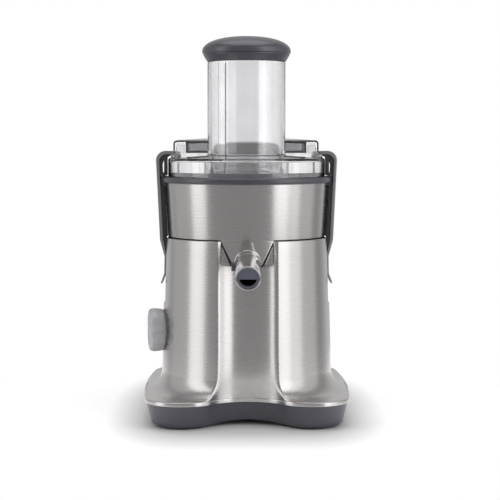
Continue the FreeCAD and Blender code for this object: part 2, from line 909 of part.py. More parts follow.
def make_deck():
    """Plug that closes the top of the housing and carries the motor on four bosses."""
    plug_radius = S.column_top_radius - S.steel_wall - S.shell_gap
    seam_radius = S.bowl_foot_radius - S.deck_seam_inset
    taper = column_taper * S.deck_depth
    outline = [
        Corner(0, deck_low),
        Corner(plug_radius.smaller(plug_radius + taper), deck_low),
        Corner(plug_radius, column_top),
        Corner(seam_radius, column_top),
        Corner(seam_radius, deck_top),
        Corner(0, deck_top),
    ]
    inset = S.steel_wall + S.shell_gap
    plug = common("deck_plug", revolve("deck_disc", outline),
                  base_prism("deck_plan", inset, deck_low - S.overcut, deck_top + S.overcut))
    fitted = cut("deck_fitted", plug, *both_sides(side_recess("deck_recess", inset)))
    bosses = []
    holes = [cylinder("deck_hole", S.seal_radius, deck_low - S.overcut,
                      S.deck_depth + S.deck_gap + S.overcut * 2)]
    for index, (x, y) in enumerate(MOUNT_PLACES):
        bosses.append(cylinder(f"deck_boss_{index}", S.boss_radius, mount_top,
                               deck_low + S.deck_depth / 2 - mount_top, x, y))
        holes.append(cylinder(f"deck_thread_{index}", S.mount_screw_radius, mount_top - S.overcut,
                              S.overcut + S.mount_screw_depth, x, y))
    node(cut("deck", fuse("deck_bossed", fitted, *bosses), *holes), "top_deck")
    seal = ring_section(S.shaft_radius + S.running_gap, S.seal_radius, deck_top - S.seal_height, deck_top)
    node(revolve("seal", seal), "shaft_seal")


def make_motor_mounts():
    """Rubber mounts under the bosses of the deck, and the screws through them."""
    mounts = []
    screws = []
    for index, (x, y) in enumerate(MOUNT_PLACES):
        sleeve = ring_section(S.mount_screw_radius, S.boss_radius, upper_top, mount_top)
        mounts.append(place(revolve(f"mount_{index}", sleeve), x, y))
        head_low = upper_low - S.screw_head_height
        outline = [
            Corner(0, head_low),
            Corner(S.mount_screw_head, head_low),
            Corner(S.mount_screw_head, upper_low),
            Corner(S.mount_screw_radius, upper_low),
            Corner(S.mount_screw_radius, mount_top + S.mount_screw_depth),
            Corner(0, mount_top + S.mount_screw_depth),
        ]
        screws.append(place(revolve(f"mount_screw_{index}", outline), x, y))
    node(group("mount_set", *mounts), "motor_mounts")
    node(group("mount_screw_set", *screws), "motor_screws")


def make_brackets():
    """Upper and lower bracket, which hold the stator and the bearings."""
    shell = S.stator_radius + S.bracket_wall
    hub = S.bearing_radius + S.hub_wall
    shaft_hole = S.shaft_radius + S.bracket_wall / 2
    seat = upper_low + S.bearing_height
    upper = revolve("upper_bracket_body", [
        Corner(S.bearing_radius, upper_low),
        Corner(S.stator_radius, upper_low),
        Corner(S.stator_radius, stator_top - S.bracket_grip),
        Corner(shell, stator_top - S.bracket_grip),
        Corner(shell, upper_top),
        Corner(hub, upper_top),
        Corner(hub, seat + S.hub_wall),
        Corner(shaft_hole, seat + S.hub_wall),
        Corner(shaft_hole, seat),
        Corner(S.bearing_radius, seat),
    ])
    holes = [cylinder(f"bracket_hole_{index}", S.mount_screw_radius, upper_low - S.overcut,
                      S.bracket_thickness + S.overcut * 2, x, y)
             for index, (x, y) in enumerate(MOUNT_PLACES)]
    node(cut("upper_bracket_drilled", upper, *holes), "upper_bracket")
    ledge = lower_top - S.bearing_height
    node(revolve("lower_bracket_body", [
        Corner(shaft_hole, ledge - S.hub_wall),
        Corner(hub, ledge - S.hub_wall),
        Corner(hub, lower_low),
        Corner(shell, lower_low),
        Corner(shell, stator_low + S.bracket_grip),
        Corner(S.stator_radius, stator_low + S.bracket_grip),
        Corner(S.stator_radius, lower_top),
        Corner(S.bearing_radius, lower_top),
        Corner(S.bearing_radius, ledge),
        Corner(shaft_hole, ledge),
    ]), "lower_bracket")
    bore = S.shaft_radius + S.running_gap
    node(revolve("upper_bearing_ring", ring_section(bore, S.bearing_radius, upper_low, seat)),
         "upper_bearing")
    node(revolve("lower_bearing_ring", ring_section(bore, S.bearing_radius, ledge, lower_top)),
         "lower_bearing")


def make_stator():
    """Stator core with the ends of its field windings above and below."""
    node(revolve("stator", ring_section(S.stator_bore, S.stator_radius, stator_low, stator_top)),
         "stator_core")
    curve = S.winding_round
    over = stator_top + S.winding_height
    under = stator_low - S.winding_height
    upper = revolve("winding_upper", [
        Corner(S.winding_inner, stator_top),
        Corner(S.winding_outer, stator_top),
        Corner(S.winding_outer, over - curve, curve),
        Corner(S.winding_outer - curve, over),
        Corner(S.winding_inner + curve, over, curve),
        Corner(S.winding_inner, over - curve),
    ])
    lower = revolve("winding_lower", [
        Corner(S.winding_inner, stator_low),
        Corner(S.winding_inner, under + curve, curve),
        Corner(S.winding_inner + curve, under),
        Corner(S.winding_outer - curve, under, curve),
        Corner(S.winding_outer, under + curve),
        Corner(S.winding_outer, stator_low),
    ])
    node(group("windings", upper, lower), "field_windings")


commutator_low = stator_top + (S.brush_space - S.commutator_height) / 2
brush_level = commutator_low + S.commutator_height / 2


def make_brushes():
    """Two carbon brushes against the commutator, in holders under the upper bracket."""
    start = S.commutator_radius + S.running_gap
    brush = box("brush", start, -S.brush_width / 2, brush_level - S.brush_height / 2,
                S.brush_length, S.brush_width, S.brush_height)
    node(group("brush_pair", *both_sides(brush)), "carbon_brushes")
    slide_width = S.brush_width + S.shell_gap * 2
    slide_height = S.brush_height + S.shell_gap * 2
    low = brush_level - slide_height / 2 - S.holder_wall
    block = box("holder_block", S.holder_start, -slide_width / 2 - S.holder_wall, low,
                S.holder_length, slide_width + S.holder_wall * 2, upper_low - low)
    slide = box("holder_slide", S.holder_start - S.overcut, -slide_width / 2,
                brush_level - slide_height / 2, S.holder_length + S.overcut * 2, slide_width, slide_height)
    holder = cut("holder", block, slide)
    node(group("holder_pair", *both_sides(holder)), "brush_holders")


def make_rotor():
    """Shaft with the rotor core, the commutator and the cooling fan."""
    shaft_top = coupling_low + S.shaft_head
    node(revolve("shaft", [
        Corner(0, fan_low - S.shaft_tail),
        Corner(S.shaft_radius, fan_low - S.shaft_tail),
        Corner(S.shaft_radius, shaft_top),
        Corner(0, shaft_top),
    ]), "motor_shaft")
    radius = S.stator_bore - S.moving_gap
    node(revolve("rotor", [
        Corner(S.shaft_radius, stator_low - S.rotor_turn_height),
        Corner(S.rotor_turn_radius, stator_low - S.rotor_turn_height),
        Corner(S.rotor_turn_radius, stator_low),
        Corner(radius, stator_low),
        Corner(radius, stator_top),
        Corner(S.rotor_turn_radius, stator_top),
        Corner(S.rotor_turn_radius, stator_top + S.rotor_turn_height),
        Corner(S.shaft_radius, stator_top + S.rotor_turn_height),
    ]), "rotor_core")
    node(revolve("commutator_drum", ring_section(
        S.shaft_radius, S.commutator_radius, commutator_low, commutator_low + S.commutator_height)),
        "commutator")
    plate_low = fan_top - S.fan_plate
    wheel = revolve("fan_wheel", [
        Corner(S.shaft_radius, fan_low),
        Corner(S.fan_hub_radius, fan_low),
        Corner(S.fan_hub_radius, plate_low),
        Corner(S.fan_radius, plate_low),
        Corner(S.fan_radius, fan_top),
        Corner(S.shaft_radius, fan_top),
    ])
    vanes = []
    root = S.fan_hub_radius - S.overcut
    for index in range(VANE_COUNT):
        outline = rectangle(root, S.fan_radius - S.overcut, -S.vane_thickness / 2, S.vane_thickness / 2)
        vane = extrude(f"vane_{index}", outline, fan_low, S.fan_height - S.fan_plate / 2)
        vanes.append(place(vane, angle=360 / VANE_COUNT * index))
    node(fuse("fan", wheel, *vanes), "cooling_fan")


# Controls

board_front = S.rear_reach - S.board_setback


def board_corners():
    """Places of the four posts under the control board."""
    across = S.board_width / 2 - S.board_margin
    front = board_front + S.board_margin
    rear = board_front + S.board_depth - S.board_margin
    return [(-across, front), (across, front), (-across, rear), (across, rear)]


def make_board():
    """Control board on its posts, with two capacitors and a heat sink."""
    low = floor_top + S.board_post_height
    top = low + S.board_thickness
    node(box("board", -S.board_width / 2, board_front, low,
             S.board_width, S.board_depth, S.board_thickness), "control_board")
    middle = board_front + S.board_depth / 2
    parts = [cylinder(f"capacitor_{index}", S.capacitor_radius, top, S.capacitor_height,
                      side * S.board_width / 4, middle)
             for index, side in enumerate((-1, 1))]
    parts.append(box("heatsink", -S.heatsink_width / 2, middle - S.heatsink_depth / 2, top,
                     S.heatsink_width, S.heatsink_depth, S.capacitor_height))
    node(group("board_part_set", *parts), "board_parts")


def make_knob(form):
    """Speed knob on its shaft, the collar behind it and the rotary switch inside."""
    face = COLUMN_UNDER_KNOB + S.bezel_rise
    back = face + S.moving_gap
    front = back + S.knob_depth
    bore = S.knob_shaft_radius
    bore_end = back + S.knob_bore_depth
    rounding = S.knob_edge_radius
    body = revolve("knob_body", [
        Corner(0, bore_end),
        Corner(bore, bore_end),
        Corner(bore, back),
        Corner(S.knob_radius, back, S.knob_barrel_radius),
        Corner(S.knob_radius, front - rounding, rounding),
        Corner(S.knob_radius - rounding, front),
        Corner(0, front),
    ])
    half = S.pointer_width / 2
    rim = S.knob_radius - S.pointer_depth
    pocket(body, rectangle(rim, S.knob_radius + S.overcut, -half, half),
           back - S.overcut, S.knob_depth + S.overcut * 2)
    pocket(body, rectangle(S.pointer_start, S.knob_radius, -half, half),
           front - S.pointer_depth, S.pointer_depth + S.overcut)
    node(at_knob(body), "speed_knob")
    inner = COLUMN_AT_KNOB - S.steel_wall - S.switch_setback
    rod_start = inner - S.switch_depth / 2
    node(at_knob(revolve("knob_rod", ring_section(0, bore, rod_start, bore_end))), "knob_shaft")
    collar_start = inner + S.switch_setback / 2
    collar = at_knob(revolve("bezel_body", [
        Corner(S.bush_radius, collar_start),
        Corner(S.bezel_radius, collar_start),
        Corner(S.bezel_radius, COLUMN_AT_KNOB),
        Corner(S.bezel_radius - S.bezel_draft, face),
        Corner(S.bush_radius, face),
    ]))
    node(cut("bezel", collar, form), "knob_bezel")
    half_switch = S.switch_width / 2
    case = extrude("switch_case", rectangle(-half_switch, half_switch, -half_switch, half_switch),
                   inner - S.switch_depth, S.switch_depth)
    bush = cylinder("switch_bush", S.bush_radius, inner - S.overcut, face - inner + S.overcut)
    bored = cylinder("switch_bore", bore + S.running_gap, rod_start, FAR)
    node(at_knob(cut("switch", fuse("switch_solid", case, bush), bored)), "rotary_switch")


def make_interlock():
    """Two lid switches under the deck, each behind the slot that a clip's nib enters."""
    nib_tip = S.column_top_radius - S.recess_depth - S.nib_reach + S.clip_gap
    face = nib_tip - S.moving_gap * 2
    item = box("interlock", face - S.interlock_depth, -S.nib_half_width, deck_low - S.interlock_height,
               S.interlock_depth, S.nib_half_width * 2, S.interlock_height)
    node(group("interlock_pair", *both_sides(item)), "interlock_switches")


# Juice bowl, band, ring and spout

apron_low = deck_top - S.apron_drop
apron_foot_radius = S.bowl_foot_radius + S.apron_flare
scoop_run = (S.scoop_centre * S.scoop_centre + SCOOP_RADIUS * SCOOP_RADIUS
             - S.bowl_foot_radius * S.bowl_foot_radius) / (S.scoop_centre * 2)
apron_half_top = (SCOOP_RADIUS * SCOOP_RADIUS - scoop_run * scoop_run).root() - S.apron_side_gap


def apron_prism(name, inset):
    """The V shape of the apron seen from the front, drawn in by an inset, through the front."""
    inset = as_size(inset)
    outline = [
        Corner(inset - S.apron_half_foot, apron_low + inset),
        Corner(S.apron_half_foot - inset, apron_low + inset),
        Corner(apron_half_top - inset, deck_top),
        Corner(inset - apron_half_top, deck_top),
    ]
    return extrude(name, outline, -FAR, FAR, "XZ_Plane")


def apron_core(name, inset, drop=0):
    """Solid inside the flared apron, under the floor of the bowl, and lower by a drop."""
    low = apron_low - drop
    return revolve(name, [
        Corner(0, low),
        Corner(apron_foot_radius - inset, low),
        Corner(S.bowl_foot_radius - inset, deck_top),
        Corner(0, deck_top),
    ])


def on_tilt(item, tilt, along):
    """Place a piece that is drawn about Z on a tilted axis through the spout's shoulder."""
    y = -S.bowl_foot_radius - S.spout_standoff - along * tilt.cosine()
    z = deck_top - S.spout_drop - along * tilt.sine()
    return place(item, 0, y, z, Vector(1, 0, 0), 90 + tilt)


def on_spout(item, along=0):
    """Place a piece that is drawn about Z on the axis of the spout, moved along it."""
    return on_tilt(item, S.spout_tilt, as_size(along))


def on_neck(item, along=0):
    """Place a piece that is drawn about Z on the steeper axis of the spout's neck."""
    return on_tilt(item, S.neck_tilt, as_size(along))


def spout_bore(name):
    """The bent bore through the root of the spout, reaching back into the trough."""
    neck = cylinder(f"{name}_neck", S.neck_bore, 0, S.neck_length)
    spigot = cylinder(f"{name}_spigot", S.root_bore, 0, S.spigot_length)
    return fuse(name, on_neck(neck, -S.neck_length), on_spout(spigot))


def make_bowl():
    """Plastic bowl with a chimney round the drive and a trough that leads to the spout."""
    inset = S.band_wall + S.shell_gap / 2
    foot = S.bowl_foot_radius - inset
    top = S.bowl_top_radius - inset
    chimney = S.chimney_bore + S.chimney_wall
    chimney_top = deck_top + S.chimney_height
    dish = revolve("bowl_dish", [
        Corner(S.chimney_bore, deck_top),
        Corner(foot, deck_top),
        Corner(top, ring_low),
        Corner(top - S.bowl_wall, ring_low),
        Corner(foot - S.bowl_wall, bowl_floor_top),
        Corner(chimney, bowl_floor_top),
        Corner(chimney, chimney_top),
        Corner(S.chimney_bore, chimney_top),
    ])
    gasket = S.apron_gasket
    scoop = cylinder("trough_back", SCOOP_RADIUS - S.clip_gap, apron_low - gasket,
                     S.apron_drop + gasket, 0, -S.scoop_centre)
    trough = common("trough", apron_prism("trough_v", -gasket),
                    apron_core("trough_core", inset, gasket), scoop)
    wall_y = S.scoop_centre - SCOOP_RADIUS + S.clip_gap + S.outlet_setback
    channel = box("outlet", -S.outlet_half_width, -wall_y - S.outlet_depth, apron_low + S.outlet_sill,
                  S.outlet_half_width * 2, S.outlet_depth, bowl_floor_top - apron_low)
    node(cut("bowl", fuse("bowl_trough", dish, trough), channel, spout_bore("bowl_bore")), "juice_bowl")


shoulder = -S.moving_gap * 2


def spigot_section():
    """Half section of the spigot that the sleeve turns on, with the groove for its seal."""
    groove_radius = S.spigot_radius - S.oring_sink
    groove_low = S.oring_place - S.oring_radius
    groove_high = S.oring_place + S.oring_radius
    return [
        Corner(0, shoulder),
        Corner(S.spigot_radius, shoulder),
        Corner(S.spigot_radius, groove_low),
        Corner(groove_radius, groove_low),
        Corner(groove_radius, groove_high),
        Corner(S.spigot_radius, groove_high),
        Corner(S.spigot_radius, S.spigot_length),
        Corner(0, S.spigot_length),
    ]


def make_root(neck):
    """Root of the spout: a cone off the apron, the spigot in front of it and the seal on that."""
    beyond = on_spout(cylinder("neck_end", S.neck_large_radius * 2, 0, S.neck_length), shoulder)
    trimmed = cut("neck_trimmed", neck, beyond, apron_core("neck_stop", S.band_wall))
    spigot = on_spout(revolve("spigot", spigot_section()))
    node(cut("root", fuse("root_solid", trimmed, spigot), spout_bore("root_bore")), "spout_root")
    oring = doc.addObject("Part::Torus", "oring")
    bind(oring, "Radius1", S.spigot_radius - S.oring_sink + S.oring_radius)
    bind(oring, "Radius2", S.oring_radius)
    node(on_spout(oring, S.oring_place), "spout_oring")


def make_band():
    """Steel band of the bowl with its V apron, the ring above it and the root of the spout."""
    wall = S.band_wall
    band = revolve("band_cone", [
        Corner(S.bowl_foot_radius - wall, deck_top),
        Corner(S.bowl_foot_radius, deck_top),
        Corner(S.bowl_top_radius, ring_low),
        Corner(S.bowl_top_radius - wall, ring_low),
    ])
    skin = cut("apron_skin", apron_core("apron_outer", 0), apron_core("apron_inner", wall))
    apron = common("apron", skin, apron_prism("apron_v", 0))
    overlap = S.neck_large_radius / 2
    neck = on_neck(revolve("neck", [
        Corner(0, -S.neck_length),
        Corner(S.neck_small_radius, -S.neck_length),
        Corner(S.neck_large_radius, 0),
        Corner(S.neck_large_radius, overlap),
        Corner(0, overlap),
    ]))
    node(cut("band", fuse("band_apron", band, apron), neck), "bowl_band")
    make_root(neck)
    curve = S.ring_round
    node(revolve("ring", [
        Corner(S.ring_inner_radius, ring_low),
        Corner(S.ring_radius - curve, ring_low, curve),
        Corner(S.ring_radius, ring_low + curve),
        Corner(S.ring_radius, ring_top - curve, curve),
        Corner(S.ring_radius - curve, ring_top),
        Corner(S.ring_inner_radius, ring_top),
    ]), "bowl_ring")


def make_spout():
    """Sleeve that turns on the root, the tab on its side, and the insert whose opening it turns."""
    lip = S.sleeve_radius + S.sleeve_lip
    groove_end = S.groove_place + S.sleeve_groove
    groove_radius = S.sleeve_radius - S.sleeve_groove_depth
    start = -S.moving_gap
    curve = S.sleeve_round
    body = revolve("sleeve", [
        Corner(S.sleeve_bore, start),
        Corner(lip, start),
        Corner(lip, S.sleeve_lip_length),
        Corner(S.sleeve_radius, S.sleeve_lip_length),
        Corner(S.sleeve_radius, S.groove_place),
        Corner(groove_radius, S.groove_place),
        Corner(groove_radius, groove_end),
        Corner(S.sleeve_radius, groove_end),
        Corner(S.sleeve_radius, S.sleeve_length - curve, curve),
        Corner(S.sleeve_radius - curve, S.sleeve_length),
        Corner(S.sleeve_bore, S.sleeve_length),
    ])
    node(on_spout(body), "spout_sleeve")
    tab = rectangle(-(S.sleeve_radius + S.tab_reach), 0,
                    -S.tab_drop - S.tab_width / 2, S.tab_width / 2 - S.tab_drop)
    block = extrude("tab_block", tab, S.tab_start, S.tab_length)
    seat = cylinder("tab_seat", S.sleeve_radius, 0, S.sleeve_length)
    node(on_spout(cut("tab", block, seat)), "spout_tab")
    face = S.sleeve_length - S.insert_setback
    plug = revolve("insert_plug", [
        Corner(0, face - S.insert_thickness),
        Corner(S.sleeve_bore, face - S.insert_thickness),
        Corner(S.sleeve_bore, face),
        Corner(0, face),
    ])
    half = (S.moon_radius * S.moon_radius - S.moon_drop * S.moon_drop).root()
    moon = [Corner(-half, -S.moon_drop, S.moon_radius), Corner(half, -S.moon_drop)]
    pocket(plug, moon, face - S.insert_thickness - S.overcut, S.insert_thickness + S.overcut * 2)
    node(on_spout(plug), "spout_insert")


# Drive coupling and filter basket

def make_basket():
    """Coupling on the shaft, and the basket that it spins."""
    hub = cylinder("coupling_hub", S.coupling_radius, coupling_low, S.coupling_height)
    splines = []
    for index in range(SPLINE_COUNT):
        reach = S.coupling_radius + S.spline_reach
        outline = rectangle(0, reach, -S.spline_width / 2, S.spline_width / 2)
        rib = extrude(f"spline_{index}", outline, coupling_low + S.spline_width,
                      S.coupling_height - S.spline_width)
        splines.append(place(rib, angle=360 / SPLINE_COUNT * index))
    bore = cylinder("coupling_bore", S.shaft_radius, coupling_low - S.overcut, S.shaft_head + S.overcut)
    node(cut("coupling", fuse("coupling_splined", hub, *splines), bore), "drive_coupling")

    socket = S.coupling_radius + S.spline_reach + S.shell_gap * 2
    cup = S.chimney_bore + S.chimney_wall + S.rim_overlap
    hub_radius = cup + S.basket_hub_wall
    hub_top = coupling_top + S.basket_hub_top
    node(revolve("basket_floor_body", [
        Corner(0, coupling_top),
        Corner(socket, coupling_top),
        Corner(socket, coupling_top - S.socket_depth),
        Corner(socket + S.socket_wall, coupling_top - S.socket_depth),
        Corner(socket + S.socket_wall, coupling_top),
        Corner(cup, coupling_top),
        Corner(cup, basket_low),
        Corner(S.basket_foot_radius, basket_low),
        Corner(S.basket_foot_radius, basket_top),
        Corner(hub_radius, basket_top),
        Corner(hub_radius, hub_top),
        Corner(0, hub_top),
    ]), "basket_base")
    wall = S.grater_wall
    plate = revolve("grater_plate", [
        Corner(hub_radius, basket_top),
        Corner(S.grater_radius, basket_top),
        Corner(S.grater_radius, basket_top + wall),
        Corner(hub_radius + wall, basket_top + wall),
        Corner(hub_radius + wall, hub_top + wall),
        Corner(0, hub_top + wall),
        Corner(0, hub_top),
        Corner(hub_radius, hub_top),
    ])
    teeth = []
    for row in range(TOOTH_ROWS):
        for index in range(TEETH_PER_ROW):
            start = S.tooth_first_radius + S.tooth_pitch * index
            outline = rectangle(start, start + S.tooth_length, -S.tooth_width / 2, S.tooth_width / 2)
            tooth = extrude(f"tooth_{row}_{index}", outline, basket_top + wall / 2,
                            S.tooth_height + wall / 2)
            stagger = index % 2 / 2
            teeth.append(place(tooth, angle=360 / TOOTH_ROWS * (row + stagger)))
    node(fuse("grater", plate, *teeth), "grating_disc")
    node(revolve("mesh", [
        Corner(S.basket_foot_radius - S.mesh_wall, basket_top),
        Corner(S.basket_foot_radius, basket_top),
        Corner(S.basket_top_radius, rim_low),
        Corner(S.basket_top_radius - S.mesh_wall, rim_low),
    ]), "basket_mesh")
    node(revolve("basket_edge", ring_section(
        S.basket_top_radius - S.rim_overlap, S.basket_top_radius + S.rim_overhang,
        rim_low, rim_low + S.rim_depth)), "basket_rim")


# Lid and pusher

def hood_solid(name, inset, low):
    """Block of the pulp hood with its arched top, drawn in by an inset."""
    inset = as_size(inset)
    half = S.hood_half_width - inset
    front = S.hood_front + inset
    rear = S.hood_rear - inset
    corner = S.hood_corner - inset
    end = lid_crown + S.hood_rise - inset
    plan = [
        Corner(-half, front),
        Corner(half, front),
        Corner(half, rear - corner, corner),
        Corner(half - corner, rear),
        Corner(corner - half, rear, corner),
        Corner(-half, rear - corner),
    ]
    arch = [
        Corner(-half, low),
        Corner(half, low),
        Corner(half, end, S.hood_arch_radius - inset),
        Corner(-half, end),
    ]
    return common(name, extrude(f"{name}_plan", plan, low, FAR),
                  extrude(f"{name}_arch", arch, 0, FAR, "XZ_Plane"))


def key_bar(name, inner, outer, width, low, high):
    """Upright bar at the front left of the chute, between two radii."""
    outline = rectangle(inner, outer, -width / 2, width / 2)
    return place(extrude(name, outline, low, high - low), angle=-90 - S.key_angle)


def lid_section():
    """Half section of the lid's disc and chute as one solid."""
    return [
        Corner(0, ring_top),
        Corner(S.lid_radius, ring_top),
        Corner(S.lid_radius, lid_top - S.lid_chamfer),
        Corner(S.lid_radius - S.lid_chamfer, lid_top),
        Corner(S.chute_radius, lid_crown),
        Corner(S.chute_radius, chute_top),
        Corner(0, chute_top),
    ]


def make_lid():
    """Clear lid: disc and skirt on the ring, feed chute, and the hood over the pulp container."""
    wall = S.lid_wall
    low = ring_top - S.overcut
    inner_wall = S.lid_radius - wall
    solid = fuse("lid_solid", revolve("lid_disc", lid_section()),
                 hood_solid("hood", 0, ring_top + S.hood_lift))
    ring_space = revolve("lid_space", [
        Corner(S.chute_foot_radius, low),
        Corner(inner_wall, low),
        Corner(inner_wall, lid_top - wall),
        Corner(S.chute_foot_radius, lid_top - wall + S.lid_dome / 2),
    ])
    bore = cylinder("chute_bore", S.chute_radius - S.chute_wall, low, chute_top - low + S.overcut)
    shell = cut("lid_shell", solid, ring_space, hood_solid("hood_space", wall, low), bore)
    inner = S.chute_radius - S.chute_wall
    key = key_bar("chute_key", inner - S.key_depth, inner + S.chute_wall / 2, S.key_width,
                  ring_top, chute_top - S.lid_chamfer)
    node(fuse("lid_keyed", shell, key), "lid")


def make_pusher():
    """Pusher: clear tube that slides in the chute, closed at the foot, under a domed cap."""
    radius = S.chute_radius - S.chute_wall - S.moving_gap
    inner = radius - S.pusher_wall
    low = ring_top - S.pusher_drop
    socket_top = cap_seam + S.cap_edge_height / 2
    tube = revolve("pusher_pipe", ring_section(inner, radius, low, socket_top))
    groove = key_bar("pusher_groove", radius - S.key_depth, radius + S.overcut,
                     S.key_width + S.moving_gap * 2, low - S.overcut, chute_top + S.moving_gap / 2)
    node(cut("pusher_grooved", tube, groove), "pusher_tube")
    node(revolve("pusher_plug", ring_section(0, inner, low, low + S.pusher_floor)), "pusher_base")

    edge = S.cap_edge_radius
    spread = S.cap_radius - edge
    rise = S.cap_dome_height
    dome = (rise * rise + spread * spread - edge * edge) / (2 * (rise - edge))
    shoulder = dome * (spread / (dome - edge))
    shoulder_level = cap_top - dome + dome * ((dome - rise) / (dome - edge))
    wall = S.cap_wall
    node(revolve("cap", [
        Corner(radius, cap_low),
        Corner(S.cap_collar_radius, cap_low),
        Corner(S.cap_seam_radius, cap_seam),
        Corner(S.cap_radius, cap_edge, edge),
        Corner(shoulder, shoulder_level, dome),
        Corner(0, cap_top),
        Corner(0, cap_top - wall),
        Corner(inner - wall, shoulder_level - wall),
        Corner(inner - wall, socket_top),
        Corner(radius, socket_top),
    ]), "pusher_cap")


# Locking clips

hinge_x = S.lid_radius - S.hinge_inset
hinge_z = lid_top + S.hinge_rise
strip_top = hinge_z + S.barrel_radius + S.strip_crown
strip_side = S.ring_radius.larger(S.bowl_top_radius) + S.strip_standoff
bend_x = (S.column_top_radius + S.bend_standoff).larger(S.bowl_foot_radius + S.bowl_standoff)
bend_z = column_top - S.bend_drop


def make_strip():
    """The right clip's strip: over the lid's edge, down the bowl, into the recess and out in a curl."""
    wall = S.strip_wall
    half = S.clip_half_width
    tail_x = S.column_top_radius + S.tail_standoff
    tail_z = column_top - S.tail_drop
    curl_z = column_top - S.curl_drop
    tip_x = S.column_top_radius + S.curl_standoff
    outer = [
        Corner(hinge_x, hinge_z + S.barrel_radius),
        Corner(strip_side, strip_top),
        Corner(bend_x, bend_z),
        Corner(tail_x, tail_z),
        Corner(tail_x + S.tail_standoff, curl_z),
        Corner(tip_x, curl_z - S.curl_length),
    ]
    inner = [Corner(corner.across - wall, corner.up) for corner in outer[2:]]
    inner.insert(0, Corner(strip_side - wall, strip_top - wall))
    inner.insert(0, Corner(hinge_x, hinge_z + S.barrel_radius - wall))
    body = extrude("strip", outer[::-1] + inner, -half, half * 2, "XZ_Plane")
    for name, corners, radius in (("crown_inner", inner[1:2], S.strip_crown_radius - wall),
                                  ("crown_outer", outer[1:2], S.strip_crown_radius),
                                  ("bends", outer[2:-1] + inner[2:-1], S.strip_bend_radius)):
        doc.recompute()
        solid = body.Tip
        edges = [f"Edge{index}" for index, edge in enumerate(solid.Shape.Edges, 1)
                 if any(runs_through(edge, corner) for corner in corners)]
        rounding = body.newObject("PartDesign::Fillet", f"strip_{name}")
        rounding.Base = (solid, edges)
        bind(rounding, "Radius", radius)
    reach = half * 2
    barrel = rod("barrel", S.barrel_radius, reach, hinge_x, half, hinge_z, Vector(1, 0, 0), 90)
    bore = rod("barrel_bore", S.pin_radius + S.running_gap, reach, hinge_x, half, hinge_z,
               Vector(1, 0, 0), 90)
    return cut("strip_bored", fuse("strip_barrel", body, barrel), bore)


def runs_through(edge, corner):
    """Whether a straight edge along Y passes through a corner of an outline in the XZ plane."""
    span = edge.BoundBox
    middle = span.Center
    place_of_corner = Vector(corner.across.value, middle.y, corner.up.value)
    return span.XLength + span.ZLength < 0.01 and middle.distanceToPoint(place_of_corner) < 0.01


def make_liner():
    """The right clip's liner: a layer under the strip, an arm by the lid, and a nib for the catch."""
    gap = S.clip_gap
    slope = (strip_side - bend_x) / (strip_top - bend_z)

    def under_strip(level):
        return bend_x + (level - bend_z) * slope - S.strip_wall - S.shell_gap

    crown_inner = S.strip_crown_radius - S.strip_wall - S.shell_gap - S.strip_crown
    ceiling = strip_top - S.strip_crown - S.strip_wall - S.shell_gap * 2
    shoulder = ceiling - crown_inner
    crown_x = under_strip(shoulder)
    arm_x = S.lid_radius + gap
    arm_foot = ring_top + gap
    ring_x = S.ring_radius + gap
    recess_x = S.column_top_radius - S.recess_depth
    nib_top = column_top - S.nib_drop + S.nib_height
    nib_low = column_top - S.nib_drop
    knee_z = bend_z + S.liner_knee
    outline = [
        Corner(recess_x + gap, nib_low),
        Corner(recess_x + gap * 1.8, nib_low),
        Corner(under_strip(bend_z).smaller(under_strip(knee_z)) - gap / 4, knee_z),
        Corner(crown_x, shoulder, crown_inner),
        Corner(crown_x - crown_inner, ceiling),
        Corner(hinge_x + S.barrel_radius + gap / 2, ceiling - gap / 2),
        Corner(hinge_x + S.barrel_radius + gap, hinge_z - S.moving_gap),
        Corner(arm_x, lid_top + gap / 2),
        Corner(arm_x, arm_foot),
        Corner(ring_x, arm_foot),
        Corner(ring_x, ring_low - gap),
        Corner(ring_x - S.liner_step, ring_low - gap * 2),
        Corner((S.bowl_foot_radius + gap * 2).larger(recess_x + gap), deck_top),
        Corner(recess_x + gap, nib_top),
    ]
    half = S.liner_half_width
    body = extrude("liner", outline, -half, half * 2, "XZ_Plane")
    slit_top = lid_top + gap / 2
    slit = [
        Corner(arm_x + S.liner_arm, arm_foot + S.liner_arm),
        Corner(under_strip(arm_foot + S.liner_arm) - S.liner_layer, arm_foot + S.liner_arm),
        Corner(crown_x - S.liner_layer, shoulder),
        Corner(arm_x + S.liner_arm, slit_top),
    ]
    pocket(body, slit, -half - S.overcut, half * 2 + S.overcut * 2, "XZ_Plane")
    nib = rectangle(recess_x + gap - S.nib_reach, recess_x + gap * 1.2, nib_low, nib_top)
    extrude("nib", nib, -S.nib_half_width, S.nib_half_width * 2, "XZ_Plane", body=body)
    return body


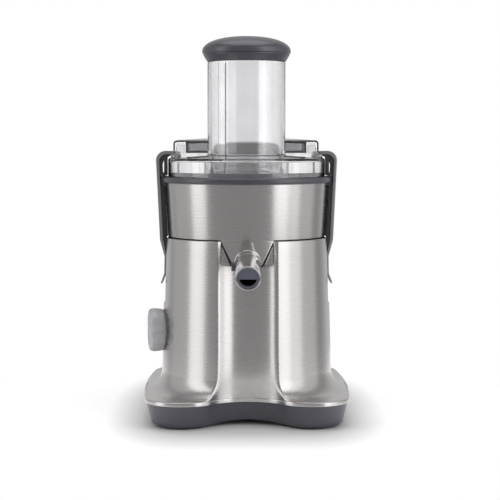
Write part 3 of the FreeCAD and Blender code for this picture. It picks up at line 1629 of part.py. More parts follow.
def make_clips():
    """Both clips, with the ears on the lid and the pins that they swing on."""
    strip = make_strip()
    liner = make_liner()
    span = S.clip_half_width + S.moving_gap
    tall = hinge_z + S.barrel_radius
    outline = [
        Corner(hinge_x - S.ear_foot, lid_top - S.lid_height / 2),
        Corner(hinge_x + S.ear_foot, lid_top - S.lid_height / 2),
        Corner(hinge_x + S.ear_foot, hinge_z),
        Corner(hinge_x + S.ear_foot / 2, tall),
        Corner(hinge_x - S.ear_foot / 2, tall),
        Corner(hinge_x - S.ear_foot, hinge_z),
    ]
    lid_solid = revolve("ear_seat", lid_section())
    ears = [extrude(f"ear_{index}", outline, low, S.ear_width, "XZ_Plane")
            for index, low in enumerate((span, -span - S.ear_width))]
    reach = span + S.ear_width
    hole = rod("ear_hole", S.pin_radius, reach * 2, hinge_x, reach, hinge_z, Vector(1, 0, 0), 90)
    pin = rod("pin", S.pin_radius, reach * 2, hinge_x, reach, hinge_z, Vector(1, 0, 0), 90)
    seated = cut("ears", fuse("ear_pair", *ears), lid_solid, hole)
    for item, label in ((strip, "clip_strip"), (liner, "clip_liner"),
                        (seated, "clip_hinge"), (pin, "clip_pin")):
        node(item, f"{label}_right")
        node(mirrored(f"{label}_mirror", item), f"{label}_left")


# Pulp container

def container_block(name, inset, clearance, low, high):
    """Block of the container, drawn in by an inset and hollowed round the column in front."""
    inset = as_size(inset)
    half = S.container_half_width - inset
    front = S.container_front + inset
    rear = S.container_rear - inset
    corner = S.container_corner - inset
    plan = [
        Corner(-half, front),
        Corner(half, front),
        Corner(half, rear - corner, corner),
        Corner(half - corner, rear),
        Corner(corner - half, rear, corner),
        Corner(-half, rear - corner),
    ]
    foot = S.column_foot_radius + S.cove_radius + inset
    under = low - S.overcut * 2
    over = high + S.overcut
    section = [
        Corner(0, under),
        Corner(foot, under),
        Corner(foot, rim_top + clearance, S.cove_radius - clearance, RIGHT),
        Corner(S.column_foot_radius + clearance, rim_top + S.cove_radius),
        Corner(S.ring_radius.larger(S.column_top_radius).larger(S.bowl_foot_radius) + clearance, over),
        Corner(0, over),
    ]
    block = extrude(f"{name}_block", plan, low, high - low)
    return cut(name, block, revolve(f"{name}_column", section))


def make_container():
    """Open pulp container with a rolled lip, standing on the rear deck of the base."""
    low = rim_top + S.container_gap
    high = ring_top + S.hood_lift - S.container_headroom
    lip_low = high - S.container_lip_height
    front = S.container_clearance
    wall = S.container_wall
    outer = container_block("container_outer", 0, front, low, high)
    lip = container_block("container_lip_block", -S.container_lip, front, lip_low, high)
    inner = container_block("container_inner", wall, front + wall, low + wall, high + S.overcut)
    node(cut("container", fuse("container_lipped", outer, lip), inner), "pulp_container")


def write_parts():
    """Check every object and write each sub-part to its own file."""
    doc.recompute()
    for item in doc.Objects:
        if "Invalid" in item.State or "Error" in item.State:
            raise RuntimeError(f"{item.Name} failed: {item.State}")
    os.makedirs("parts", exist_ok=True)
    for item in NODES:
        shape = item.Shape
        if shape.isNull() or not shape.isValid() or not shape.Solids:
            raise RuntimeError(f"{item.Label} has no valid solid")
        shape.exportStep(f"parts/{item.Label}.step")
        print(f"{item.Label}: {len(shape.Solids)} solids, {shape.Volume / 1000:.2f} cm3")


housing_form = make_housing_core()
make_housing(housing_form)
make_skirt()
make_base_fittings()
make_deck()
make_motor_mounts()
make_brackets()
make_stator()
make_brushes()
make_rotor()
make_board()
make_knob(housing_form)
make_interlock()
make_bowl()
make_band()
make_spout()
make_basket()
make_lid()
make_pusher()
make_clips()
make_container()
write_parts()
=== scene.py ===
"""Looks of a centrifugal juicer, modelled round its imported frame.

Lengths are metres. X points right, Y to the back and Z up. The drive turns about the Z axis.
"""
import json
import logging
import math
from contextlib import contextmanager
from dataclasses import dataclass, replace
from enum import Enum
from typing import Callable, Iterator, Optional, Sequence, Union

import bmesh
import bpy
from mathutils import Matrix, Vector


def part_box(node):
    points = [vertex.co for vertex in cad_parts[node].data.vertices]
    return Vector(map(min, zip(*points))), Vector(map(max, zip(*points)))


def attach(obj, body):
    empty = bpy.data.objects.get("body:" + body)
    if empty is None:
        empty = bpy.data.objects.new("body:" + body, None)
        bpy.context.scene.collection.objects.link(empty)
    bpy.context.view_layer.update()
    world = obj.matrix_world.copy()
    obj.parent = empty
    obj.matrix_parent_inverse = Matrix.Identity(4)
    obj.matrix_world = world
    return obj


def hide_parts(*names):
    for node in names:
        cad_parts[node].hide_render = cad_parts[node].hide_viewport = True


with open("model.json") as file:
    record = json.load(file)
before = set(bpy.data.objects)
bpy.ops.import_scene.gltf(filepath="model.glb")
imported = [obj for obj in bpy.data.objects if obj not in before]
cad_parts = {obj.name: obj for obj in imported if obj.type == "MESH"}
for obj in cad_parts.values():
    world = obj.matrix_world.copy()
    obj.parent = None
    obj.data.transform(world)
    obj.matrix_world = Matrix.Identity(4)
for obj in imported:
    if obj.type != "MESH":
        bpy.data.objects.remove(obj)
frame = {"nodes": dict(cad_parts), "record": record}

LOG = logging.getLogger("juicer")
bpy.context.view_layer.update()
MERGE = 1e-6
PLAY = 0.0002
TURN_STEPS = 144
FINE_STEPS = 240
FILLET_STEPS = 5
FILLET_SHARE = 0.49
FLAT_ANGLE = 0.5
SMOOTH_ANGLE = 35.0
BUMP_DEPTH = 0.0002
NOISE_SPAN = (0.25, 0.75)
SHADE_STOPS = (0.3, 0.7)
VERTEX_MODE = (True, False, False)
EDGE_MODE = (False, True, False)
FACE_MODE = (False, False, True)

Piece = bpy.types.Object
Socket = bpy.types.NodeSocket
Point = tuple[float, float]
Colour = tuple[float, float, float, float]


class Side(Enum):
    """The two sides of the machine, as the sign of X."""

    LEFT = -1
    RIGHT = 1


class Grain(Enum):
    """Which way the lines of a brushed face run."""

    AROUND = "around the Z axis"
    ALONG_Z = "up and down"


class Fillet(float, Enum):
    """Radii of rounded edges that come back on many pieces."""

    HAIR = 0.0002
    CRISP = 0.0003
    FINE = 0.0004
    SMALL = 0.0005
    PLAIN = 0.0006
    SOFT = 0.0008
    BROAD = 0.001
    FULL = 0.002


@dataclass(frozen=True)
class Knot:
    """A corner of a section, with the fillet that rounds it."""

    across: float
    up: float
    fillet: float = 0.0


# Places read from the frame

def low(node: str) -> Vector:
    """Corner of a CAD node's box with the smallest coordinates."""
    return Vector(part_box(node)[0])


def high(node: str) -> Vector:
    """Corner of a CAD node's box with the largest coordinates."""
    return Vector(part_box(node)[1])


# Work in the modelling space

def focus(*pieces: Piece) -> None:
    """Select some objects alone and make the first one active.

    Args:
        pieces: The objects.
    """
    bpy.ops.object.select_all(action="DESELECT")
    for piece in pieces:
        piece.select_set(True)
    bpy.context.view_layer.objects.active = pieces[0]


def adopt(name: str) -> Piece:
    """Name the object that an operator has just added.

    Args:
        name: Its name.
    Returns:
        The object.
    """
    piece = bpy.context.active_object
    piece.name = name
    piece.data.name = name
    return piece


@contextmanager
def editing(piece: Piece) -> Iterator[bmesh.types.BMesh]:
    """Open a piece in edit mode and close it again.

    Args:
        piece: The object.
    Returns:
        The mesh that is being edited.
    """
    focus(piece)
    bpy.ops.object.mode_set(mode="EDIT")
    yield bmesh.from_edit_mesh(piece.data)
    bmesh.update_edit_mesh(piece.data)
    bpy.ops.object.mode_set(mode="OBJECT")


def tidy_mesh() -> None:
    """Merge doubles and turn all faces outwards, in edit mode."""
    bpy.ops.mesh.select_all(action="SELECT")
    bpy.ops.mesh.remove_doubles(threshold=MERGE)
    bpy.ops.mesh.normals_make_consistent(inside=False)


def modify(piece: Piece, kind: str, **settings: object) -> Piece:
    """Add a modifier to a piece and apply it.

    Args:
        piece: The object.
        kind: Type of the modifier.
        settings: Its properties.
    Returns:
        The object.
    """
    focus(piece)
    modifier = piece.modifiers.new(kind.title(), kind)
    for name, value in settings.items():
        setattr(modifier, name, value)
    bpy.ops.object.modifier_apply(modifier=modifier.name)
    return piece


def bevelled(piece: Piece, width: float, segments: int = 2, angle: float = 40) -> Piece:
    """Round the sharp edges of a piece.

    Args:
        piece: The object.
        width: Width of the rounding.
        segments: Faces across it.
        angle: Edges sharper than this many degrees are rounded.
    Returns:
        The object.
    """
    return modify(piece, "BEVEL", width=width, segments=segments, limit_method="ANGLE",
                  angle_limit=math.radians(angle), use_clamp_overlap=True)


def thickened(piece: Piece, wall: float, even: bool = False) -> Piece:
    """Give a sheet its thickness, inwards from its face.

    Args:
        piece: The object.
        wall: The thickness.
        even: Whether the wall keeps its thickness round corners.
    Returns:
        The object.
    """
    return modify(piece, "SOLIDIFY", thickness=wall, offset=-1.0, use_even_offset=even)


def cut(piece: Piece, tool: Piece) -> Piece:
    """Take one shape out of another and throw the tool away.

    Args:
        piece: The object that is cut.
        tool: The shape taken out.
    Returns:
        The object.
    """
    modify(piece, "BOOLEAN", operation="DIFFERENCE", object=tool, solver="EXACT")
    bpy.data.objects.remove(tool, do_unlink=True)
    return piece


def joined(*pieces: Piece) -> Piece:
    """Make one mesh of several.

    Args:
        pieces: The objects; the first keeps its name.
    Returns:
        The first object.
    """
    focus(*pieces)
    bpy.ops.object.join()
    return pieces[0]


def settled(piece: Piece, matrix: Matrix) -> Piece:
    """Move a piece to its place and put that place into its mesh.

    Args:
        piece: The object.
        matrix: Where it goes.
    Returns:
        The object.
    """
    piece.matrix_world = matrix
    focus(piece)
    bpy.ops.object.transform_apply(location=True, rotation=True, scale=True)
    return piece


def mirrored(piece: Piece, name: str) -> Piece:
    """A copy of a piece on the other side of the machine.

    Args:
        piece: The object.
        name: Name of the copy.
    Returns:
        The copy.
    """
    focus(piece)
    bpy.ops.object.duplicate()
    copy = adopt(name)
    settled(copy, Matrix.Scale(-1, 4, Vector((1, 0, 0))))
    with editing(copy):
        bpy.ops.mesh.select_all(action="SELECT")
        bpy.ops.mesh.normals_make_consistent(inside=False)
    return copy


def without_faces(piece: Piece, unwanted: Callable[[Vector], bool]) -> None:
    """Delete some faces of a piece.

    Args:
        piece: The object.
        unwanted: Says from the middle of a face whether it goes.
    """
    settings = bpy.context.tool_settings
    with editing(piece) as mesh:
        bpy.ops.mesh.select_all(action="DESELECT")
        settings.mesh_select_mode = FACE_MODE
        for face in mesh.faces:
            face.select_set(unwanted(face.calc_center_median()))
        bpy.ops.mesh.delete(type="FACE")
        settings.mesh_select_mode = VERTEX_MODE


def halved(piece: Piece, level: float) -> None:
    """Take away what lies behind an upright plane and close the cut.

    Args:
        piece: The object.
        level: Y of the plane.
    """
    with editing(piece):
        bpy.ops.mesh.select_all(action="SELECT")
        bpy.ops.mesh.bisect(plane_co=(0, level, 0), plane_no=(0, 1, 0), clear_outer=True, use_fill=True)
        tidy_mesh()


def quarter_round(radius: float, steps: int) -> list[Point]:
    """Steps round a rounded edge, from one face to the other.

    Args:
        radius: Radius of the edge.
        steps: How many steps there are.
    Returns:
        At each step, how far the edge lies inside the face that it leaves and the one that it joins.
    """
    angles = [math.pi / 2 * step / steps for step in range(steps + 1)]
    return [(radius * (1 - math.cos(angle)), radius * (1 - math.sin(angle))) for angle in angles]


def polar_ring(reaches: Sequence[float], turns: Sequence[float], height: float) -> list[Sequence[float]]:
    """Points at some distances and directions from the axis.

    Args:
        reaches: The distances.
        turns: The directions.
        height: Height of all points.
    Returns:
        The points.
    """
    return [(reach * math.cos(turn), reach * math.sin(turn), height) for reach, turn in zip(reaches, turns)]


def rounded(section: Sequence[Knot], closed: bool = True) -> list[Point]:
    """Points of a section with its fillets drawn in.

    Args:
        section: The corners in order.
        closed: Whether the last corner joins the first.
    Returns:
        The points in order.
    """
    points = []
    for index, knot in enumerate(section):
        corner = Vector((knot.across, knot.up))
        if knot.fillet <= 0 or (not closed and index in (0, len(section) - 1)):
            points.append(tuple(corner))
            continue
        before = section[index - 1]
        after = section[(index + 1) % len(section)]
        back = Vector((before.across, before.up)) - corner
        ahead = Vector((after.across, after.up)) - corner
        half = back.angle(ahead) / 2
        reach = min(knot.fillet / math.tan(half), FILLET_SHARE * min(back.length, ahead.length))
        radius = reach * math.tan(half)
        middle = (back.normalized() + ahead.normalized()).normalized()
        centre = corner + middle * (radius / math.sin(half))
        start = corner + back.normalized() * reach - centre
        end = corner + ahead.normalized() * reach - centre
        for step in range(FILLET_STEPS + 1):
            points.append(tuple(centre + start.lerp(end, step / FILLET_STEPS).normalized() * radius))
    return points


def drawn(name: str, places: Sequence[Sequence[float]]) -> Piece:
    """A closed loop of edges through some points.

    Args:
        name: Name of the new object.
        places: The points in order.
    Returns:
        The object, with the loop as its mesh.
    """
    bpy.ops.mesh.primitive_circle_add(vertices=len(places), radius=1.0, location=(0, 0, 0))
    piece = adopt(name)
    for vertex, place in zip(piece.data.vertices, places):
        vertex.co = place
    return piece


def turned(name: str, section: Sequence[Knot], closed: bool = True, steps: int = TURN_STEPS) -> Piece:
    """Turn a half section about the Z axis, as on a lathe.

    Args:
        name: Name of the new object.
        section: Corners of the section.
        closed: False where it starts and ends on the axis.
        steps: Faces round the axis.
    Returns:
        The turned piece.
    """
    settings = bpy.context.tool_settings
    piece = drawn(name, [(across, 0, up) for across, up in rounded(section, closed)])
    with editing(piece) as mesh:
        if not closed:
            bpy.ops.mesh.select_all(action="DESELECT")
            mesh.verts.ensure_lookup_table()
            shut = mesh.edges.get((mesh.verts[0], mesh.verts[-1]))
            settings.mesh_select_mode = EDGE_MODE
            shut.select_set(True)
            bpy.ops.mesh.delete(type="EDGE_FACE")
            settings.mesh_select_mode = VERTEX_MODE
        bpy.ops.mesh.select_all(action="SELECT")
        bpy.ops.mesh.spin(steps=steps, angle=math.tau, center=(0, 0, 0), axis=(0, 0, 1))
        tidy_mesh()
    return piece


def ringed(name: str, bore: float, radius: float, foot: float, top: float,
           fillets: Sequence[float] = (0, 0, 0, 0), steps: int = TURN_STEPS) -> Piece:
    """A turned ring, or a disc where the bore is nought.

    Args:
        name: Name of the new object.
        bore: Inner radius.
        radius: Outer radius.
        foot: Lower end.
        top: Upper end.
        fillets: Rounding of its corners: bore and rim at the foot, then rim and bore at the top.
        steps: Faces round the axis.
    Returns:
        The turned piece.
    """
    corners = ((bore, foot), (radius, foot), (radius, top), (bore, top))
    section = [Knot(*corner, fillet) for corner, fillet in zip(corners, fillets)]
    return turned(name, section, closed=bore > 0, steps=steps)


def extruded(name: str, outline: Sequence[Point], start: float, end: float) -> Piece:
    """Pull an outline in the XZ plane along Y.

    Args:
        name: Name of the new object.
        outline: Its points in order.
        start: Y of the first face.
        end: Y of the last face.
    Returns:
        The piece.
    """
    piece = drawn(name, [(across, start, up) for across, up in outline])
    with editing(piece):
        bpy.ops.mesh.select_all(action="SELECT")
        bpy.ops.mesh.edge_face_add()
        bpy.ops.mesh.extrude_region_move(TRANSFORM_OT_translate={"value": (0, end - start, 0)})
        tidy_mesh()
    return piece


def bar(name: str, across: Point, up: Point, along: Point) -> Piece:
    """A bar with a rectangular section that runs along Y.

    Args:
        name: Name of the new object.
        across: Its ends in X.
        up: Its ends in Z.
        along: Its ends in Y.
    Returns:
        The piece.
    """
    left, right = across
    foot, top = up
    return extruded(name, [(left, foot), (right, foot), (right, top), (left, top)], *along)


def block(name: str, centre: Sequence[float], size: Sequence[float]) -> Piece:
    """A box that is cut out of another shape.

    Args:
        name: Name of the new object.
        centre: Its middle.
        size: Its three sizes.
    Returns:
        The box.
    """
    bpy.ops.mesh.primitive_cube_add(size=1.0, location=centre, scale=size)
    return adopt(name)


def lofted(name: str, rings: Sequence[Sequence[Sequence[float]]], shut: bool = False) -> Piece:
    """Extrude a loop of edges from ring to ring.

    Args:
        name: Name of the new object.
        rings: Loops of points, all with as many points.
        shut: Whether the first and last ring are closed with a face.
    Returns:
        The piece.
    """
    piece = drawn(name, rings[0])
    extrude = bpy.ops.mesh.extrude_region_move if shut else bpy.ops.mesh.extrude_edges_move
    with editing(piece) as mesh:
        order = mesh.verts.layers.int.new("order")
        for index, vertex in enumerate(mesh.verts):
            vertex[order] = index
        bpy.ops.mesh.select_all(action="SELECT")
        if shut:
            bpy.ops.mesh.edge_face_add()
        for ring in rings[1:]:
            extrude(TRANSFORM_OT_translate={"value": (0, 0, 0)})
            mesh = bmesh.from_edit_mesh(piece.data)
            order = mesh.verts.layers.int["order"]
            for vertex in mesh.verts:
                if vertex.select:
                    vertex.co = ring[vertex[order]]
        tidy_mesh()
    return piece


def pressed(name: str, columns: int, rows: int, form: Callable[[float, float], Sequence[float]]) -> Piece:
    """A sheet pressed from a flat grid.

    Args:
        name: Name of the new object.
        columns: Faces across the sheet.
        rows: Faces up the sheet.
        form: Place of each point, from two numbers between minus one and one.
    Returns:
        The sheet.
    """
    bpy.ops.mesh.primitive_grid_add(x_subdivisions=columns, y_subdivisions=rows, size=2.0, location=(0, 0, 0))
    piece = adopt(name)
    for vertex in piece.data.vertices:
        vertex.co = form(vertex.co.x, vertex.co.y)
    with editing(piece):
        tidy_mesh()
    return piece


def fettled(node: str, width: float, angle: float) -> Piece:
    """A copy of a CAD node with its facets merged and its sharp edges rounded.

    Args:
        node: Name of the node.
        width: Width of the rounding.
        angle: Edges sharper than this many degrees are rounded.
    Returns:
        The copy.
    """
    source = frame["nodes"][node]
    piece = bpy.data.objects.new(f"{node}_shape", source.data.copy())
    bpy.context.scene.collection.objects.link(piece)
    with editing(piece):
        tidy_mesh()
        bpy.ops.mesh.dissolve_limited(angle_limit=math.radians(FLAT_ANGLE))
    return bevelled(piece, width, angle=angle)


# Finishes

class Graph:
    """Node tree of a material or of the world."""

    def __init__(self, owner: Union[bpy.types.Material, bpy.types.World]) -> None:
        """Start an empty tree.

        Args:
            owner: The material or the world.
        """
        self.owner = owner
        owner.use_nodes = True
        self.tree = owner.node_tree
        self.tree.nodes.clear()

    def add(self, kind: str, sockets: Optional[dict] = None, **settings: object) -> bpy.types.Node:
        """Add a node.

        Args:
            kind: Its type, without the common prefix.
            sockets: Values or output sockets for its inputs.
            settings: Its properties.
        Returns:
            The node.
        """
        node = self.tree.nodes.new(f"ShaderNode{kind}")
        for name, value in settings.items():
            setattr(node, name, value)
        for name, value in (sockets or {}).items():
            if isinstance(value, Socket):
                self.tree.links.new(value, node.inputs[name])
            else:
                node.inputs[name].default_value = value
        return node

    def place(self) -> Socket:
        """Place on the piece, in the piece's own coordinates."""
        return self.add("TexCoord").outputs["Object"]

    def parts(self, vector: Socket) -> bpy.types.NodeOutputs:
        """The X, Y and Z of a vector."""
        return self.add("SeparateXYZ", {"Vector": vector}).outputs

    def reckon(self, operation: str, *values: Union[Socket, float]) -> Socket:
        """Result of some arithmetic."""
        return self.add("Math", dict(enumerate(values)), operation=operation).outputs[0]

    def noise(self, vector: Socket, scale: float, detail: float = 2.0) -> Socket:
        """Add a noise texture.

        Args:
            vector: Where it is read.
            scale: How fine it is.
            detail: How many finer layers it has.
        Returns:
            Its level between nought and one.
        """
        return self.add("TexNoise", {"Vector": vector, "Scale": scale, "Detail": detail}).outputs[0]

    def bump(self, height: Socket, strength: float, depth: float = BUMP_DEPTH) -> Socket:
        """Add a fine relief.

        Args:
            height: Its level.
            strength: How much of it shows.
            depth: How deep it is.
        Returns:
            The surface's direction.
        """
        return self.add("Bump", {"Height": height, "Strength": strength, "Distance": depth}).outputs[0]

    def ranged(self, value: Socket, span: Point, levels: Point) -> Socket:
        """Map one range of numbers to another.

        Args:
            value: The number.
            span: The two ends of its range.
            levels: What they become.
        Returns:
            The new number.
        """
        return self.add("MapRange", {"Value": value, "From Min": span[0], "From Max": span[1],
                                     "To Min": levels[0], "To Max": levels[1]}).outputs[0]

    def shades(self, level: Socket, colour: Colour, spread: float) -> Socket:
        """Vary a colour between a darker and a lighter shade.

        Args:
            level: The level that picks the shade.
            colour: The middle shade.
            spread: How far the shades are apart.
        Returns:
            The colour.
        """
        ramp = self.add("ValToRGB", {"Fac": level})
        for stop, place, change in zip(ramp.color_ramp.elements, SHADE_STOPS, (1 - spread, 1 + spread)):
            stop.position = place
            stop.color = (*(min(1.0, channel * change) for channel in colour[:3]), 1.0)
        return ramp.outputs[0]

    def done(self, shader: bpy.types.Node, inside: Optional[bpy.types.Node] = None) -> bpy.types.Material:
        """Lead a shader to the material's surface.

        Args:
            shader: The last shader node.
            inside: Shader of what the surface encloses.
        Returns:
            The material.
        """
        ends = {"Surface": shader.outputs[0]}
        if inside:
            ends["Volume"] = inside.outputs[0]
        self.add("OutputMaterial", ends)
        return self.owner


@dataclass(frozen=True)
class BrushedSteel:
    """Sheet metal with fine parallel lines."""

    name: str
    colour: Colour
    roughness: float = 0.27
    grain: Grain = Grain.AROUND
    along: float = 2.0
    across: float = 3200.0
    spread: float = 0.012
    relief: float = 0.003
    uneven: float = 0.013
    anisotropy: float = 0.5
    quarter: float = 0.25
    detail: float = 3.0

    def material(self) -> bpy.types.Material:
        """Build the finish.

        Returns:
            The material.
        """
        graph = Graph(bpy.data.materials.new(self.name))
        parts = graph.parts(graph.place())
        if self.grain is Grain.AROUND:
            turn = graph.reckon("ARCTAN2", parts["Y"], parts["X"])
            sheet = graph.add("CombineXYZ", {"X": turn, "Y": parts["Z"]}).outputs[0]
        else:
            sheet = graph.add("CombineXYZ", {"X": parts["Z"], "Y": parts["Y"], "Z": parts["X"]}).outputs[0]
        lines = graph.add("Mapping", {"Vector": sheet, "Scale": (self.along, self.across, self.along)})
        streaks = graph.noise(lines.outputs[0], 1.0, self.detail)
        tangent = graph.add("Tangent", direction_type="RADIAL", axis="Z")
        ends = (self.roughness - self.uneven, self.roughness + self.uneven)
        shader = graph.add("BsdfPrincipled", {
            "Base Color": graph.shades(streaks, self.colour, self.spread), "Metallic": 1.0,
            "Roughness": graph.ranged(streaks, NOISE_SPAN, ends),
            "Anisotropic": self.anisotropy, "Anisotropic Rotation": self.quarter,
            "Tangent": tangent.outputs[0], "Normal": graph.bump(streaks, self.relief)})
        return graph.done(shader)


@dataclass(frozen=True)
class Moulded:
    """Moulded plastic or rubber with a fine satin skin."""

    name: str
    colour: Colour
    roughness: float = 0.42
    skin: float = 2200.0
    relief: float = 0.06
    spread: float = 0.04
    metal: float = 0.0
    shine: float = 0.5
    blotch: float = 60.0
    smoother: float = 0.05
    rougher: float = 0.05

    def material(self) -> bpy.types.Material:
        """Build the finish.

        Returns:
            The material.
        """
        graph = Graph(bpy.data.materials.new(self.name))
        place = graph.place()
        fine = graph.noise(place, self.skin)
        broad = graph.noise(place, self.skin / self.blotch)
        ends = (self.roughness - self.smoother, self.roughness + self.rougher)
        shader = graph.add("BsdfPrincipled", {
            "Base Color": graph.shades(broad, self.colour, self.spread), "Metallic": self.metal,
            "Roughness": graph.ranged(fine, NOISE_SPAN, ends),
            "Specular IOR Level": self.shine, "Normal": graph.bump(fine, self.relief)})
        return graph.done(shader)


@dataclass(frozen=True)
class CastMetal(Moulded):
    """Bare metal of an inner part, with an even grain."""

    roughness: float = 0.4
    skin: float = 900.0
    relief: float = 0.1
    spread: float = 0.08
    metal: float = 1.0
    blotch: float = 1.0
    smoother: float = 0.06
    rougher: float = 0.08


@dataclass(frozen=True)
class ClearPlastic:
    """See-through plastic, tinted by its colour and darker the deeper it is."""

    name: str
    colour: Colour
    roughness: float = 0.02
    index: float = 1.56
    waves: float = 40.0
    relief: float = 0.006
    depth_colour: Colour = (0.5, 0.48, 0.53, 1)
    density: float = 9.0
    wave_depth: float = 0.002
    spread: float = 0.01
    rougher: float = 0.02

    def material(self) -> bpy.types.Material:
        """Build the finish.

        Returns:
            The material.
        """
        graph = Graph(bpy.data.materials.new(self.name))
        broad = graph.noise(graph.place(), self.waves, 0.0)
        ends = (self.roughness, self.roughness + self.rougher)
        shader = graph.add("BsdfPrincipled", {
            "Base Color": graph.shades(broad, self.colour, self.spread),
            "Roughness": graph.ranged(broad, NOISE_SPAN, ends), "IOR": self.index,
            "Transmission Weight": 1.0, "Normal": graph.bump(broad, self.relief, self.wave_depth)})
        inside = graph.add("VolumeAbsorption", {"Color": self.depth_colour, "Density": self.density})
        return graph.done(shader, inside)


Finish = Union[BrushedSteel, Moulded, ClearPlastic]

STEEL = BrushedSteel("brushed_steel", (0.63, 0.61, 0.605, 1))
STRIP_STEEL = BrushedSteel("strip_steel", (0.46, 0.46, 0.47, 1), 0.34, Grain.ALONG_Z, along=20.0,
                           across=2400.0, spread=0.05, relief=0.04, uneven=0.03, anisotropy=0.3)
SPOUT_STEEL = BrushedSteel("spout_steel", (0.66, 0.65, 0.65, 1), 0.11, Grain.ALONG_Z, along=20.0,
                           across=1500.0, spread=0.03, relief=0.02, uneven=0.02, anisotropy=0.0)
KNOB_SILVER = Moulded("knob_silver", (0.52, 0.515, 0.54, 1), 0.5, metal=0.4)
COLLAR = Moulded("collar_plastic", (0.36, 0.36, 0.37, 1), 0.4)
LINER = Moulded("liner_plastic", (0.05, 0.05, 0.055, 1), 0.45)
DARK = Moulded("dark_plastic", (0.05, 0.048, 0.066, 1), 0.32, shine=1.0)
BLACK = Moulded("black_plastic", (0.012, 0.012, 0.014, 1), 0.4)
RUBBER = Moulded("rubber", (0.02, 0.02, 0.022, 1), 0.62, skin=1200.0, relief=0.12)
INSERT = Moulded("insert_plastic", (0.105, 0.107, 0.145, 1), 0.4)
# Near-black finish for the sleeve's bore: painted shade where the bore lies in shadow.
PAINTED_BORE_SHADE = Moulded("painted_bore_shade", (0.004, 0.004, 0.005, 1), 0.6)
CLEAR = ClearPlastic("clear_plastic", (0.985, 0.984, 0.99, 1))
PUSHER_CLEAR = ClearPlastic("pusher_clear", (0.985, 0.984, 0.99, 1), density=6.0)
SMOKED = ClearPlastic("smoked_plastic", (0.3, 0.3, 0.33, 1), 0.06)
FINISHES = {
    "steel": STEEL,
    "dark_plastic": DARK,
    "black_plastic": BLACK,
    "clear_plastic": CLEAR,
    "smoked_plastic": SMOKED,
    "knob_silver": KNOB_SILVER,
    "spout_steel": SPOUT_STEEL,
    "insert_plastic": INSERT,
    "rubber": RUBBER,
    "iron": CastMetal("iron", (0.24, 0.24, 0.26, 1), 0.5),
    "copper": CastMetal("copper", (0.72, 0.33, 0.16, 1), 0.35),
    "aluminium": CastMetal("aluminium", (0.6, 0.6, 0.6, 1), 0.45),
    "bright_steel": CastMetal("bright_steel", (0.62, 0.62, 0.62, 1), 0.25),
    "mesh_steel": CastMetal("mesh_steel", (0.5, 0.5, 0.51, 1), 0.3, skin=2500.0, relief=0.4, spread=0.25),
    "circuit_board": Moulded("circuit_board", (0.02, 0.12, 0.05, 1), 0.5),
    "carbon": Moulded("carbon", (0.015, 0.015, 0.015, 1), 0.7),
}


class Workshop:
    """Keeps the materials and puts finished pieces on the machine."""

    def __init__(self) -> None:
        """Start with no material made."""
        self.made: dict[str, bpy.types.Material] = {}

    def material(self, finish: Finish) -> bpy.types.Material:
        """The material of a finish, made once.

        Args:
            finish: The finish.
        Returns:
            Its material.
        """
        if finish.name not in self.made:
            self.made[finish.name] = finish.material()
        return self.made[finish.name]

    def fit(self, piece: Piece, finish: Finish, body: str, slot: str, *nodes: str,
            angle: float = SMOOTH_ANGLE) -> Piece:
        """Finish a piece and put it on a body.

        Args:
            piece: The object.
            finish: Its finish.
            body: The body that it moves with.
            slot: Its material slot; not used.
            nodes: CAD nodes that it stands for.
            angle: Edges sharper than this many degrees stay sharp.
        Returns:
            The object.
        """
        focus(piece)
        bpy.ops.object.shade_smooth_by_angle(angle=math.radians(angle))
        piece.data.materials.clear()
        piece.data.materials.append(self.material(finish))
        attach(piece, body)
        if nodes:
            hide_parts(*nodes)
        LOG.info("%s: %d faces on %s", piece.name, len(piece.data.polygons), body)
        return piece

    def carry_over(self, slots: dict[str, str]) -> None:
        """Give every CAD node that is still shown the finish of its slot.

        Args:
            slots: Slot of each node.
        """
        for node, item in frame["nodes"].items():
            item.data.materials.clear()
            item.data.materials.append(self.material(FINISHES[slots[node]]))


# The machine

